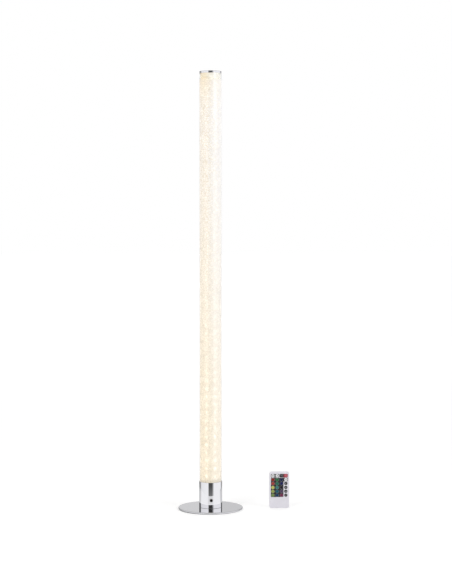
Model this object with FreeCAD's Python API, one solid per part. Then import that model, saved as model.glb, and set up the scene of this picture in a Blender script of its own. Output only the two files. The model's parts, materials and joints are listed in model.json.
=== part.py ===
"""LED corner floor lamp: a lit acrylic column on a chromed disc base, with its hand-held remote control.

Millimetres, +Z up. The origin is on the floor under the middle of the base. The front, with the eye that
receives the remote's signal, faces -Y. The remote stands on its foot end on the floor beside the base, on
the +X side, keys to the front. It is drawn lying on its back, with its foot end at Y 0, and stood up last.
"""

import FreeCAD, Part
import math
import os

from FreeCAD import Vector

# Whole lamp
OVERALL_HEIGHT = 1200.0

# Fits that several pieces share
SLIDE_CLEARANCE = 0.2
THREAD_CLEARANCE = 0.05
HOLE_CLEARANCE = 0.25

# Floor pad and base plate
PAD_THICKNESS = 0.8
PAD_INSET = 4.0
BASE_DIAMETER = 178.0
BASE_THICKNESS = 4.7
BASE_EDGE_RADIUS = 2.0

# Acrylic column
TUBE_DIAMETER = 60.0
TUBE_WALL = 2.0
TUBE_SEAT_DEPTH = 20.0

# Chromed collar round the foot of the column
COLLAR_GAP = 0.55
COLLAR_WALL = 1.2
COLLAR_HEIGHT = 71.5
COLLAR_RIM_RADIUS = 0.5
SEAL_THICKNESS = 0.5
SEAL_INSET = 0.4

# Moulded socket inside the collar
SOCKET_WALL = 2.5
DECK_THICKNESS = 4.0
SPIGOT_HEIGHT = 18.0
SPIGOT_WALL = 2.0
MAST_POCKET_HEIGHT = 12.0
MAST_POCKET_WALL = 1.5
LEAD_HOLE_DIAMETER = 14.0

# Screws from below through the plate into the socket
BASE_SCREW_DIAMETER = 4.0
BASE_SCREW_LENGTH = 16.0
BASE_SCREW_HEAD_DIAMETER = 8.0
BASE_SCREW_COUNT = 4
BASE_SCREW_CIRCLE = 44.0
BASE_BOSS_DIAMETER = 9.0
SCREW_TIP_ROOM = 2.0
CROSS_RECESS_WIDTH = 1.0
CROSS_RECESS_DEPTH = 1.2

# Signal eye on the front of the collar
EYE_DIAMETER = 7.5
EYE_HEIGHT = 23.0
EYE_PROUD = 0.9
EYE_EDGE_RADIUS = 0.5
BEZEL_DIAMETER = 10.4
BEZEL_THICKNESS = 0.6
RECEIVER_WIDTH = 6.0
RECEIVER_HEIGHT = 7.0
RECEIVER_DEPTH = 4.0
RECEIVER_DOME_RADIUS = 2.4
RECEIVER_POCKET_WALL = 1.6
RECEIVER_LEAD_COUNT = 3
RECEIVER_LEAD_PITCH = 2.54
RECEIVER_LEAD_DIAMETER = 1.0
RECEIVER_LEAD_BEND = 3.0

# Controller board under the deck
BOARD_LENGTH = 44.0
BOARD_THICKNESS = 1.6
BOARD_BOSS_CLEARANCE = 1.0
BOARD_STANDOFF = 5.0
BOARD_SCREW_SPACING = 36.0
BOARD_SCREW_DIAMETER = 2.5
BOARD_SCREW_HEAD_DIAMETER = 4.6
BOARD_SCREW_HEAD_HEIGHT = 1.6
BOARD_SCREW_GRIP = 4.0
BOARD_STANDOFF_DIAMETER = 6.0
LEAD_SOCKET_SIZE = 12.0
LEAD_SOCKET_HEIGHT = 3.0
TRANSISTOR_WIDTH = 6.5
TRANSISTOR_LENGTH = 9.0
TRANSISTOR_HEIGHT = 2.3
TRANSISTOR_OFFSET = 10.0
CONTROL_CHIP_SIZE = 6.0
CONTROL_CHIP_HEIGHT = 1.7

# Power inlet at the back of the collar
INLET_HEIGHT = 18.5
INLET_FLANGE_DIAMETER = 14.5
INLET_FLANGE_PROUD = 2.0
INLET_EDGE_RADIUS = 0.6
INLET_BARREL_DIAMETER = 10.8
INLET_TAIL = 3.0
INLET_BORE_DIAMETER = 6.3
INLET_BORE_DEPTH = 9.5
INLET_PIN_DIAMETER = 2.1
INLET_PIN_SHORT = 0.5
INLET_LUG_WIDTH = 2.6
INLET_LUG_THICKNESS = 0.6
INLET_LUG_LENGTH = 3.0
INLET_LUG_SPACING = 5.0
NUT_WIDTH = 14.0
NUT_THICKNESS = 2.5
NUT_PAD_MARGIN = 2.0
NUT_PAD_DEPTH = 3.3
SUPPLY_WIRE_DIAMETER = 1.8
SUPPLY_WIRE_INSET = 2.5
SUPPLY_WIRE_BEND = 4.5

# Square aluminium mast with a light strip on each face
MAST_WIDTH = 32.0
MAST_WALL = 1.2
MAST_CORNER_RADIUS = 1.5
MAST_CLEARANCE = 0.15
MAST_TURN = 45.0
MAST_FACES = 4
STRIP_WIDTH = 10.0
STRIP_THICKNESS = 0.4
STRIP_START_GAP = 5.0
STRIP_END_GAP = 4.0
LED_SIZE = 5.0
LED_HEIGHT = 1.6
LED_PITCH = 22.0
LED_FIRST_RISE = 12.0
STRIP_LEAD_DIAMETER = 2.0
STRIP_LEAD_BEND = 2.5
STRIP_LEAD_HOLE_ROOM = 1.25
STRIP_LEAD_CIRCLE = 8.0
STRIP_LEAD_DROP = 6.5

# Crackle film rolled up inside the column
FILM_THICKNESS = 0.4
FILM_CLEARANCE = 0.1
FILM_SEAM = 1.0
FILM_END_GAP = 0.5

# Top plug, cap and its screw
CAP_HEIGHT = 6.0
CAP_WALL = 1.0
CAP_EDGE_RADIUS = 0.8
PLUG_DEPTH = 14.0
PLUG_FLANGE_THICKNESS = 1.5
PLUG_WEB_THICKNESS = 3.0
PLUG_WEB_DROP = 2.0
CAP_BOSS_DIAMETER = 9.0
CAP_SCREW_DIAMETER = 4.0
CAP_SCREW_LENGTH = 8.0
CAP_SCREW_HEAD_DIAMETER = 7.0
CAP_SCREW_HEAD_HEIGHT = 2.6
MAST_END_GAP = 0.5

# Remote control: where it stands, then its case
REMOTE_X = 190.0
REMOTE_Y = 0.0
REMOTE_THICKNESS = 6.8
REMOTE_CORNER = 6.0
REMOTE_WALL = 1.4
FACE_THICKNESS = 1.5
FACE_EDGE_RADIUS = 1.2
BACK_SHELL_HEIGHT = 3.6
BACK_FLOOR = 1.0
BACK_EDGE_RADIUS = 0.7
TONGUE_CLEARANCE = 0.15
TONGUE_WIDTH = 0.6
TONGUE_DEPTH = 0.6
POST_DIAMETER = 4.0

# Remote keys
KEY_DIAMETER = 9.0
KEY_ROW_GAP = 1.85
KEY_COLUMN_GAP = 3.0
KEY_TOP_MARGIN = 6.75
KEY_SIDE_MARGIN = 5.0
KEY_TRAY_GAP = 3.3
KEY_TRAVEL = 0.6
KEY_PROUD = 0.75
KEY_HOLE_CLEARANCE = 0.2
KEY_LIP = 0.45
KEY_LIP_THICKNESS = 0.6
KEY_STOP_GAP = 0.05
KEY_EDGE_RADIUS = 0.6
KEY_NAMES = (
    ("key_brighter", "key_dimmer", "key_off", "key_on"),
    ("key_red", "key_green", "key_blue", "key_white"),
    ("key_orange", "key_mint", "key_indigo", "key_flash"),
    ("key_yellow", "key_teal", "key_plum", "key_strobe"),
    ("key_lime", "key_petrol", "key_mauve", "key_fade"),
    ("key_leaf", "key_navy", "key_rose", "key_smooth"),
)
PANEL_THICKNESS = 0.15
PANEL_GAP = 0.9
PANEL_CORNER = 2.5

# Remote insides
REMOTE_BOARD_THICKNESS = 1.0
REMOTE_BOARD_INSET = 3.0
MEMBRANE_THICKNESS = 0.6
MEMBRANE_INSET = 1.0
EMITTER_RADIUS = 1.4
EMITTER_RIM_RADIUS = 1.7
EMITTER_RIM_THICKNESS = 1.0
EMITTER_BODY_LENGTH = 4.6
EMITTER_CLEARANCE = 0.15
EMITTER_LEAD_SIZE = 0.4
EMITTER_LEAD_SPACING = 1.8
EMITTER_LEAD_LENGTH = 4.0

# Remote battery and its sliding tray
BATTERY_DIAMETER = 20.0
BATTERY_THICKNESS = 2.5
BATTERY_EDGE_RADIUS = 0.3
BATTERY_CLEARANCE = 0.1
TRAY_CLEARANCE = 0.15
TRAY_FLOOR = 0.45
TRAY_SIDE = 1.5
TRAY_FRONT = 3.0
TRAY_SLOT_CLEARANCE = 0.2
TRAY_FOOT_GAP = 4.6
RAIL_WIDTH = 1.5
RAIL_HEIGHT = 1.8
GRIP_WIDTH = 12.0
GRIP_DEPTH = 0.5
GRIP_HEIGHT = 1.0
BOARD_TRAY_GAP = 2.2
CONTACT_WIDTH = 4.0
CONTACT_THICKNESS = 0.2
CONTACT_CLEARANCE = 0.1
CONTACT_REACH = 9.0
CONTACT_SPACING = 10.0

# Levels and radii of the lamp that follow from these
TOLERANCE = 1e-6
ORIGIN = Vector(0, 0, 0)
UP = Vector(0, 0, 1)
SIDEWAYS = Vector(1, 0, 0)
BACKWARD = Vector(0, 1, 0)
PLATE_TOP = PAD_THICKNESS + BASE_THICKNESS
COLLAR_BOTTOM = PLATE_TOP + SEAL_THICKNESS
COLLAR_TOP = PLATE_TOP + COLLAR_HEIGHT
TUBE_BOTTOM = COLLAR_TOP - TUBE_SEAT_DEPTH
TUBE_TOP = OVERALL_HEIGHT - CAP_HEIGHT
TUBE_RADIUS = TUBE_DIAMETER / 2
TUBE_BORE_RADIUS = TUBE_RADIUS - TUBE_WALL
COLLAR_BORE_RADIUS = TUBE_RADIUS + COLLAR_GAP
COLLAR_RADIUS = COLLAR_BORE_RADIUS + COLLAR_WALL
DRUM_RADIUS = COLLAR_BORE_RADIUS - SLIDE_CLEARANCE
DRUM_BORE_RADIUS = DRUM_RADIUS - SOCKET_WALL
DECK_BOTTOM = TUBE_BOTTOM - DECK_THICKNESS
SPIGOT_RADIUS = TUBE_BORE_RADIUS - SLIDE_CLEARANCE
SPIGOT_TOP = TUBE_BOTTOM + SPIGOT_HEIGHT
BOSS_OFFSET = BASE_SCREW_CIRCLE / 2 * math.sin(math.pi / BASE_SCREW_COUNT)
EYE_LEVEL = PLATE_TOP + EYE_HEIGHT
INLET_LEVEL = PLATE_TOP + INLET_HEIGHT
RECEIVER_FRONT = -(DRUM_BORE_RADIUS - SLIDE_CLEARANCE)
RECEIVER_BACK = RECEIVER_FRONT + RECEIVER_DEPTH
BOARD_TOP = DECK_BOTTOM - BOARD_STANDOFF
BOARD_BOTTOM = BOARD_TOP - BOARD_THICKNESS
BOARD_WIDTH = 2 * (BOSS_OFFSET - BASE_BOSS_DIAMETER / 2 - BOARD_BOSS_CLEARANCE)
NUT_FACE = DRUM_BORE_RADIUS - NUT_PAD_DEPTH
INLET_REAR = NUT_FACE - NUT_THICKNESS - INLET_TAIL
WEB_TOP = TUBE_TOP - PLUG_WEB_DROP
WEB_BOTTOM = WEB_TOP - PLUG_WEB_THICKNESS
PLUG_BOTTOM = TUBE_TOP - PLUG_DEPTH
MAST_TOP = WEB_BOTTOM - MAST_END_GAP
STRIP_BOTTOM = SPIGOT_TOP + STRIP_START_GAP
STRIP_TOP = PLUG_BOTTOM - STRIP_END_GAP
LED_COUNT = int((STRIP_TOP - STRIP_BOTTOM - LED_FIRST_RISE - LED_SIZE / 2) / LED_PITCH) + 1
CAP_BORE_RADIUS = TUBE_RADIUS - CAP_WALL

# Levels and places of the remote that follow from these
KEY_ROWS = len(KEY_NAMES)
KEY_COLUMNS = len(KEY_NAMES[0])
ROW_PITCH = KEY_DIAMETER + KEY_ROW_GAP
COLUMN_PITCH = KEY_DIAMETER + KEY_COLUMN_GAP
KEY_FIELD_WIDTH = KEY_DIAMETER + (KEY_COLUMNS - 1) * COLUMN_PITCH
KEY_FIELD_LENGTH = KEY_DIAMETER + (KEY_ROWS - 1) * ROW_PITCH
TRAY_LENGTH = TRAY_FRONT + BATTERY_DIAMETER + 2 * BATTERY_CLEARANCE + TRAY_SIDE
TRAY_WIDTH = BATTERY_DIAMETER + 2 * (BATTERY_CLEARANCE + TRAY_SIDE)
REMOTE_WIDTH = KEY_FIELD_WIDTH + 2 * KEY_SIDE_MARGIN
REMOTE_LENGTH = KEY_TOP_MARGIN + KEY_FIELD_LENGTH + KEY_TRAY_GAP + TRAY_WIDTH + TRAY_FOOT_GAP
REMOTE_SIDE = REMOTE_X + REMOTE_WIDTH / 2
FACE_UNDERSIDE = REMOTE_THICKNESS - FACE_THICKNESS
KEY_LIP_BOTTOM = FACE_UNDERSIDE - KEY_STOP_GAP - KEY_LIP_THICKNESS
MEMBRANE_TOP = KEY_LIP_BOTTOM - KEY_TRAVEL - KEY_STOP_GAP
MEMBRANE_BOTTOM = MEMBRANE_TOP - MEMBRANE_THICKNESS
REMOTE_BOARD_BOTTOM = MEMBRANE_BOTTOM - REMOTE_BOARD_THICKNESS
KEY_HOLE_RADIUS = KEY_DIAMETER / 2 + KEY_HOLE_CLEARANCE
KEY_LIP_RADIUS = KEY_HOLE_RADIUS + KEY_LIP
TRAY_BOTTOM = BACK_FLOOR + TRAY_CLEARANCE
BATTERY_BOTTOM = TRAY_BOTTOM + TRAY_FLOOR
TRAY_TOP = BATTERY_BOTTOM + BATTERY_THICKNESS + BATTERY_CLEARANCE
TRAY_INNER_END = REMOTE_SIDE - TRAY_LENGTH
TRAY_Y = TRAY_FOOT_GAP + TRAY_WIDTH / 2
TRAY_EDGE = TRAY_FOOT_GAP + TRAY_WIDTH
BATTERY_X = REMOTE_SIDE - TRAY_FRONT - BATTERY_CLEARANCE - BATTERY_DIAMETER / 2
CONTACT_BOTTOM = TRAY_TOP + CONTACT_CLEARANCE
REMOTE_BOARD_FRONT = TRAY_EDGE + BOARD_TRAY_GAP
EMITTER_LEVEL = (BACK_FLOOR + FACE_UNDERSIDE) / 2
EMITTER_RIM_FRONT = REMOTE_LENGTH - EMITTER_BODY_LENGTH
REMOTE_BOARD_BACK = EMITTER_RIM_FRONT - EMITTER_RIM_THICKNESS


def cylinder(radius, bottom, top):
    """An upright cylinder on the lamp's axis."""
    return Part.makeCylinder(radius, top - bottom, Vector(0, 0, bottom))


def ring(outer, inner, bottom, top):
    """A round tube on the lamp's axis."""
    return cylinder(outer, bottom, top).cut(cylinder(inner, bottom, top))


def rod(radius, start, end):
    """A cylinder from one point to another."""
    along = end - start
    return Part.makeCylinder(radius, along.Length, start, along)


def block(x, y, z):
    """A box from three pairs of limits."""
    return Part.makeBox(x[1] - x[0], y[1] - y[0], z[1] - z[0], Vector(x[0], y[0], z[0]))


def about(centre, size):
    """The limits of a length with its middle at centre."""
    return centre - size / 2, centre + size / 2


def upright_edges(shape):
    """The straight edges of a shape that run along Z."""
    edges = []
    for edge in shape.Edges:
        box = edge.BoundBox
        if box.XLength < TOLERANCE and box.YLength < TOLERANCE:
            edges.append(edge)
    return edges


def edges_at_level(shape, level):
    """The edges of a shape that lie flat at a height."""
    edges = []
    for edge in shape.Edges:
        box = edge.BoundBox
        if abs(box.ZMin - level) < TOLERANCE and abs(box.ZMax - level) < TOLERANCE:
            edges.append(edge)
    return edges


def edges_at_depth(shape, depth):
    """The edges of a shape that lie flat at one Y."""
    edges = []
    for edge in shape.Edges:
        box = edge.BoundBox
        if abs(box.YMin - depth) < TOLERANCE and abs(box.YMax - depth) < TOLERANCE:
            edges.append(edge)
    return edges


def rounded_block(x, y, z, corner):
    """A box with its four upright edges rounded."""
    solid = block(x, y, z)
    return solid.makeFillet(corner, upright_edges(solid))


def round_wire(points, bend, diameter):
    """A round wire along straight runs, with an arc of one radius at each corner."""
    edges = []
    start = points[0]
    for before, corner, after in zip(points, points[1:], points[2:]):
        into = (corner - before).normalize()
        out = (after - corner).normalize()
        half_turn = into.getAngle(out) / 2
        arc_start = corner - into * bend * math.tan(half_turn)
        arc_end = corner + out * bend * math.tan(half_turn)
        inward = (out - into).normalize()
        arc_middle = corner + inward * (bend / math.cos(half_turn) - bend)
        edges.append(Part.LineSegment(start, arc_start).toShape())
        edges.append(Part.Arc(arc_start, arc_middle, arc_end).toShape())
        start = arc_end
    edges.append(Part.LineSegment(start, points[-1]).toShape())
    section = Part.Wire(Part.makeCircle(diameter / 2, points[0], points[1] - points[0]))
    return Part.Wire(edges).makePipeShell([section], True, False)


def cross_recess(centre, level, depth, width, span):
    """The two crossed slots that a driver fits, cut upward from a level."""
    along = block(about(centre.x, span), about(centre.y, width), (level, level + depth))
    across = block(about(centre.x, width), about(centre.y, span), (level, level + depth))
    return along.fuse(across)


def base_screw_places():
    """The four screw positions under the socket, midway between the mast's corners."""
    places = []
    for number in range(BASE_SCREW_COUNT):
        angle = (2 * number + 1) * math.pi / BASE_SCREW_COUNT
        radius = BASE_SCREW_CIRCLE / 2
        places.append(Vector(radius * math.cos(angle), radius * math.sin(angle), 0))
    return places


def board_screw_places():
    """The two screw positions of the controller board."""
    return [Vector(x, 0, 0) for x in about(0, BOARD_SCREW_SPACING)]


def on_mast_faces(shapes):
    """Copies of shapes drawn for the mast's +X face, one set for each face."""
    copies = []
    for face in range(MAST_FACES):
        for shape in shapes:
            copy = shape.copy()
            copy.rotate(ORIGIN, UP, MAST_TURN + face * 360 / MAST_FACES)
            copies.append(copy)
    return copies


def mast_square(width, bottom, top):
    """A square block on the axis, turned as the mast is."""
    square = block(about(0, width), about(0, width), (bottom, top))
    square.rotate(ORIGIN, UP, MAST_TURN)
    return square


def mast_pocket(bottom, top, bound_radius):
    """A square wall that holds one end of the mast, kept inside a round bound."""
    bore = MAST_WIDTH + 2 * MAST_CLEARANCE
    wall = mast_square(bore + 2 * MAST_POCKET_WALL, bottom, top)
    wall = wall.common(cylinder(bound_radius, bottom, top))
    return wall.cut(mast_square(bore, bottom, top))


def eye_hole(radius, near, far):
    """A round hole through the front, between two distances from the axis."""
    return rod(radius, Vector(0, -near, EYE_LEVEL), Vector(0, -far, EYE_LEVEL))


def inlet_hole(radius, near, far):
    """A round hole through the back, between two distances from the axis."""
    return rod(radius, Vector(0, near, INLET_LEVEL), Vector(0, far, INLET_LEVEL))


def floor_pad():
    """The soft disc that the lamp stands on."""
    return cylinder(BASE_DIAMETER / 2 - PAD_INSET, 0, PAD_THICKNESS)


def base_plate():
    """The chromed steel disc, with countersunk holes from below."""
    plate = cylinder(BASE_DIAMETER / 2, PAD_THICKNESS, PLATE_TOP)
    rims = edges_at_level(plate, PAD_THICKNESS) + edges_at_level(plate, PLATE_TOP)
    plate = plate.makeFillet(BASE_EDGE_RADIUS, rims)
    hole_radius = BASE_SCREW_DIAMETER / 2 + HOLE_CLEARANCE
    sink_radius = BASE_SCREW_HEAD_DIAMETER / 2 + HOLE_CLEARANCE
    for place in base_screw_places():
        seat = place + UP * PAD_THICKNESS
        plate = plate.cut(Part.makeCylinder(hole_radius, BASE_THICKNESS, seat))
        plate = plate.cut(Part.makeCone(sink_radius, hole_radius, sink_radius - hole_radius, seat))
    return plate


def base_screws():
    """Countersunk screws with a cross recess, heads flush with the plate's underside."""
    shank_radius = BASE_SCREW_DIAMETER / 2 - THREAD_CLEARANCE
    head_radius = BASE_SCREW_HEAD_DIAMETER / 2
    head_height = head_radius - shank_radius
    screws = []
    for place in base_screw_places():
        seat = place + UP * PAD_THICKNESS
        head = Part.makeCone(head_radius, shank_radius, head_height, seat)
        shank = Part.makeCylinder(shank_radius, BASE_SCREW_LENGTH, seat)
        recess = cross_recess(seat, PAD_THICKNESS, CROSS_RECESS_DEPTH, CROSS_RECESS_WIDTH, head_radius)
        screws.append(head.fuse(shank).removeSplitter().cut(recess))
    return Part.makeCompound(screws)


def collar_seal():
    """The thin grey ring between the plate and the collar."""
    return ring(COLLAR_RADIUS - SEAL_INSET, COLLAR_BORE_RADIUS, PLATE_TOP, COLLAR_BOTTOM)


def base_collar():
    """The chromed sleeve round the socket, with holes for the eye and the power inlet."""
    sleeve = cylinder(COLLAR_RADIUS, COLLAR_BOTTOM, COLLAR_TOP)
    sleeve = sleeve.makeFillet(COLLAR_RIM_RADIUS, edges_at_level(sleeve, COLLAR_TOP))
    sleeve = sleeve.cut(cylinder(COLLAR_BORE_RADIUS, COLLAR_BOTTOM, COLLAR_TOP))
    sleeve = sleeve.cut(eye_hole(EYE_DIAMETER / 2 + SLIDE_CLEARANCE, 0, 2 * COLLAR_RADIUS))
    return sleeve.cut(inlet_hole(INLET_BARREL_DIAMETER / 2 + SLIDE_CLEARANCE, 0, 2 * COLLAR_RADIUS))


def receiver_pocket():
    """The walls on the front of the drum that hold the receiver, and the space cut in them."""
    wall_width = RECEIVER_WIDTH + 2 * (SLIDE_CLEARANCE + RECEIVER_POCKET_WALL)
    wall_height = RECEIVER_HEIGHT + 2 * (SLIDE_CLEARANCE + RECEIVER_POCKET_WALL)
    depth = (-DRUM_RADIUS, RECEIVER_BACK)
    walls = block(about(0, wall_width), depth, about(EYE_LEVEL, wall_height))
    walls = walls.common(cylinder(DRUM_RADIUS, PLATE_TOP, DECK_BOTTOM))
    space_width = about(0, RECEIVER_WIDTH + 2 * SLIDE_CLEARANCE)
    space_height = about(EYE_LEVEL, RECEIVER_HEIGHT + 2 * SLIDE_CLEARANCE)
    space = block(space_width, (RECEIVER_FRONT, RECEIVER_BACK), space_height)
    return walls, space


def nut_pad():
    """The flat on the back of the drum that the inlet's nut pulls against."""
    size = NUT_WIDTH + 2 * NUT_PAD_MARGIN
    pad = block(about(0, size), (NUT_FACE, DRUM_RADIUS), about(INLET_LEVEL, size))
    return pad.common(cylinder(DRUM_RADIUS, PLATE_TOP, DECK_BOTTOM))


def tube_socket():
    """The moulded drum that carries the column, the mast and the electronics."""
    walls, receiver_space = receiver_pocket()
    solids = [
        cylinder(DRUM_RADIUS, DECK_BOTTOM, TUBE_BOTTOM),
        ring(SPIGOT_RADIUS, SPIGOT_RADIUS - SPIGOT_WALL, TUBE_BOTTOM, SPIGOT_TOP),
        mast_pocket(TUBE_BOTTOM, TUBE_BOTTOM + MAST_POCKET_HEIGHT, SPIGOT_RADIUS),
        walls,
        nut_pad(),
    ]
    for place in base_screw_places():
        foot = place + UP * PLATE_TOP
        solids.append(Part.makeCylinder(BASE_BOSS_DIAMETER / 2, DECK_BOTTOM - PLATE_TOP, foot))
    for place in board_screw_places():
        foot = place + UP * BOARD_TOP
        solids.append(Part.makeCylinder(BOARD_STANDOFF_DIAMETER / 2, BOARD_STANDOFF, foot))
    socket = ring(DRUM_RADIUS, DRUM_BORE_RADIUS, PLATE_TOP, DECK_BOTTOM).fuse(solids).removeSplitter()
    holes = [
        cylinder(LEAD_HOLE_DIAMETER / 2, DECK_BOTTOM, TUBE_BOTTOM),
        receiver_space,
        eye_hole(EYE_DIAMETER / 2 + SLIDE_CLEARANCE, DRUM_BORE_RADIUS - SOCKET_WALL, COLLAR_RADIUS),
        inlet_hole(INLET_BARREL_DIAMETER / 2 + SLIDE_CLEARANCE, NUT_FACE, COLLAR_RADIUS),
    ]
    base_depth = BASE_SCREW_LENGTH - BASE_THICKNESS + SCREW_TIP_ROOM
    for place in base_screw_places():
        holes.append(Part.makeCylinder(BASE_SCREW_DIAMETER / 2, base_depth, place + UP * PLATE_TOP))
    for place in board_screw_places():
        foot = place + UP * BOARD_TOP
        holes.append(Part.makeCylinder(BOARD_SCREW_DIAMETER / 2, BOARD_STANDOFF, foot))
    return socket.cut(holes)


def ir_window():
    """The smoked lens that fills the hole in the collar."""
    front = -(COLLAR_RADIUS + EYE_PROUD)
    inner_end = Vector(0, RECEIVER_FRONT - RECEIVER_DOME_RADIUS / 2 - SLIDE_CLEARANCE, EYE_LEVEL)
    lens = rod(EYE_DIAMETER / 2, inner_end, Vector(0, front, EYE_LEVEL))
    return lens.makeFillet(EYE_EDGE_RADIUS, edges_at_depth(lens, front))


def ir_bezel():
    """The satin ring round the lens, curved to lie on the collar."""
    reach = EYE_LEVEL - BEZEL_DIAMETER, EYE_LEVEL + BEZEL_DIAMETER
    skin = ring(COLLAR_RADIUS + BEZEL_THICKNESS, COLLAR_RADIUS, *reach)
    bezel = skin.common(eye_hole(BEZEL_DIAMETER / 2, 0, 2 * COLLAR_RADIUS))
    return bezel.cut(eye_hole(EYE_DIAMETER / 2 + SLIDE_CLEARANCE, 0, 2 * COLLAR_RADIUS))


def ir_receiver():
    """The receiver block behind the lens, with its domed front."""
    depth = (RECEIVER_FRONT, RECEIVER_BACK)
    body = block(about(0, RECEIVER_WIDTH), depth, about(EYE_LEVEL, RECEIVER_HEIGHT))
    dome_centre = Vector(0, RECEIVER_FRONT + RECEIVER_DOME_RADIUS / 2, EYE_LEVEL)
    return body.fuse(Part.makeSphere(RECEIVER_DOME_RADIUS, dome_centre))


def receiver_leads():
    """Leads from the back of the receiver up to the board."""
    rise = -BOARD_WIDTH / 2 + RECEIVER_LEAD_PITCH
    leads = []
    for number in range(RECEIVER_LEAD_COUNT):
        x = (number - (RECEIVER_LEAD_COUNT - 1) / 2) * RECEIVER_LEAD_PITCH
        route = [
            Vector(x, RECEIVER_BACK, EYE_LEVEL),
            Vector(x, rise, EYE_LEVEL),
            Vector(x, rise, BOARD_BOTTOM),
        ]
        leads.append(round_wire(route, RECEIVER_LEAD_BEND, RECEIVER_LEAD_DIAMETER))
    return Part.makeCompound(leads)


def controller_board():
    """The circuit board under the deck."""
    board = block(about(0, BOARD_LENGTH), about(0, BOARD_WIDTH), (BOARD_BOTTOM, BOARD_TOP))
    for place in board_screw_places():
        hole_radius = BOARD_SCREW_DIAMETER / 2 + HOLE_CLEARANCE
        board = board.cut(Part.makeCylinder(hole_radius, BOARD_THICKNESS, place + UP * BOARD_BOTTOM))
    return board


def board_components():
    """The lead socket on top of the board, and two transistors and the chip under it."""
    socket_side = about(0, LEAD_SOCKET_SIZE)
    chip_side = about(0, CONTROL_CHIP_SIZE)
    pieces = [
        block(socket_side, socket_side, (BOARD_TOP, BOARD_TOP + LEAD_SOCKET_HEIGHT)),
        block(chip_side, chip_side, (BOARD_BOTTOM - CONTROL_CHIP_HEIGHT, BOARD_BOTTOM)),
    ]
    for x in about(0, 2 * TRANSISTOR_OFFSET):
        level = (BOARD_BOTTOM - TRANSISTOR_HEIGHT, BOARD_BOTTOM)
        pieces.append(block(about(x, TRANSISTOR_WIDTH), about(0, TRANSISTOR_LENGTH), level))
    return Part.makeCompound(pieces)


def board_screws():
    """The two screws that hold the board up to the deck."""
    shank_radius = BOARD_SCREW_DIAMETER / 2 - THREAD_CLEARANCE
    screws = []
    for place in board_screw_places():
        head_foot = place + UP * (BOARD_BOTTOM - BOARD_SCREW_HEAD_HEIGHT)
        head = Part.makeCylinder(BOARD_SCREW_HEAD_DIAMETER / 2, BOARD_SCREW_HEAD_HEIGHT, head_foot)
        grip = BOARD_THICKNESS + BOARD_SCREW_GRIP
        shank = Part.makeCylinder(shank_radius, grip, place + UP * BOARD_BOTTOM)
        screws.append(head.fuse(shank))
    return Part.makeCompound(screws)


def power_inlet():
    """The barrel socket for the supply's plug, its flange curved to sit on the collar."""
    face = COLLAR_RADIUS + INLET_FLANGE_PROUD
    flange = inlet_hole(INLET_FLANGE_DIAMETER / 2, 0, face)
    flange = flange.makeFillet(INLET_EDGE_RADIUS, edges_at_depth(flange, face))
    flange = flange.cut(cylinder(COLLAR_RADIUS, PLATE_TOP, COLLAR_TOP))
    bore_end = face - INLET_BORE_DEPTH
    body = flange.fuse(inlet_hole(INLET_BARREL_DIAMETER / 2, INLET_REAR, COLLAR_RADIUS))
    body = body.removeSplitter().cut(inlet_hole(INLET_BORE_DIAMETER / 2, bore_end, face))
    body = body.fuse(inlet_hole(INLET_PIN_DIAMETER / 2, bore_end, face - INLET_PIN_SHORT))
    for x in about(0, INLET_LUG_SPACING):
        lug_depth = (INLET_REAR - INLET_LUG_LENGTH, INLET_REAR)
        lug = block(about(x, INLET_LUG_THICKNESS), lug_depth, about(INLET_LEVEL, INLET_LUG_WIDTH))
        body = body.fuse(lug)
    return body


def inlet_nut():
    """The hexagon nut that clamps the inlet from inside."""
    corner = NUT_WIDTH / math.sqrt(3)
    points = []
    for number in range(7):
        angle = number * math.pi / 3
        x = corner * math.cos(angle)
        z = INLET_LEVEL + corner * math.sin(angle)
        points.append(Vector(x, NUT_FACE - NUT_THICKNESS, z))
    nut = Part.Face(Part.makePolygon(points)).extrude(BACKWARD * NUT_THICKNESS)
    hole_radius = INLET_BARREL_DIAMETER / 2 + THREAD_CLEARANCE
    return nut.cut(inlet_hole(hole_radius, NUT_FACE - NUT_THICKNESS, NUT_FACE))


def supply_wires():
    """The two wires from the inlet's lugs up to the board."""
    start = INLET_REAR - INLET_LUG_LENGTH
    rise = BOARD_WIDTH / 2 - SUPPLY_WIRE_INSET
    wires = []
    for x in about(0, INLET_LUG_SPACING):
        route = [
            Vector(x, start, INLET_LEVEL),
            Vector(x, rise, INLET_LEVEL),
            Vector(x, rise, BOARD_BOTTOM),
        ]
        wires.append(round_wire(route, SUPPLY_WIRE_BEND, SUPPLY_WIRE_DIAMETER))
    return Part.makeCompound(wires)


def led_mast():
    """The square aluminium tube in the middle of the column, with a lead hole in each face."""
    side = about(0, MAST_WIDTH)
    bore = about(0, MAST_WIDTH - 2 * MAST_WALL)
    mast = rounded_block(side, side, (TUBE_BOTTOM, MAST_TOP), MAST_CORNER_RADIUS)
    mast = mast.cut(block(bore, bore, (TUBE_BOTTOM, MAST_TOP)))
    mast.rotate(ORIGIN, UP, MAST_TURN)
    level = STRIP_BOTTOM - STRIP_LEAD_DROP
    hole_radius = STRIP_LEAD_DIAMETER / 2 + STRIP_LEAD_HOLE_ROOM
    hole = rod(hole_radius, Vector(0, 0, level), Vector(MAST_WIDTH, 0, level))
    return mast.cut(on_mast_faces([hole]))


def led_strips():
    """The flexible circuit strip on each face of the mast."""
    face = MAST_WIDTH / 2
    strip = block((face, face + STRIP_THICKNESS), about(0, STRIP_WIDTH), (STRIP_BOTTOM, STRIP_TOP))
    return Part.makeCompound(on_mast_faces([strip]))


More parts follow.
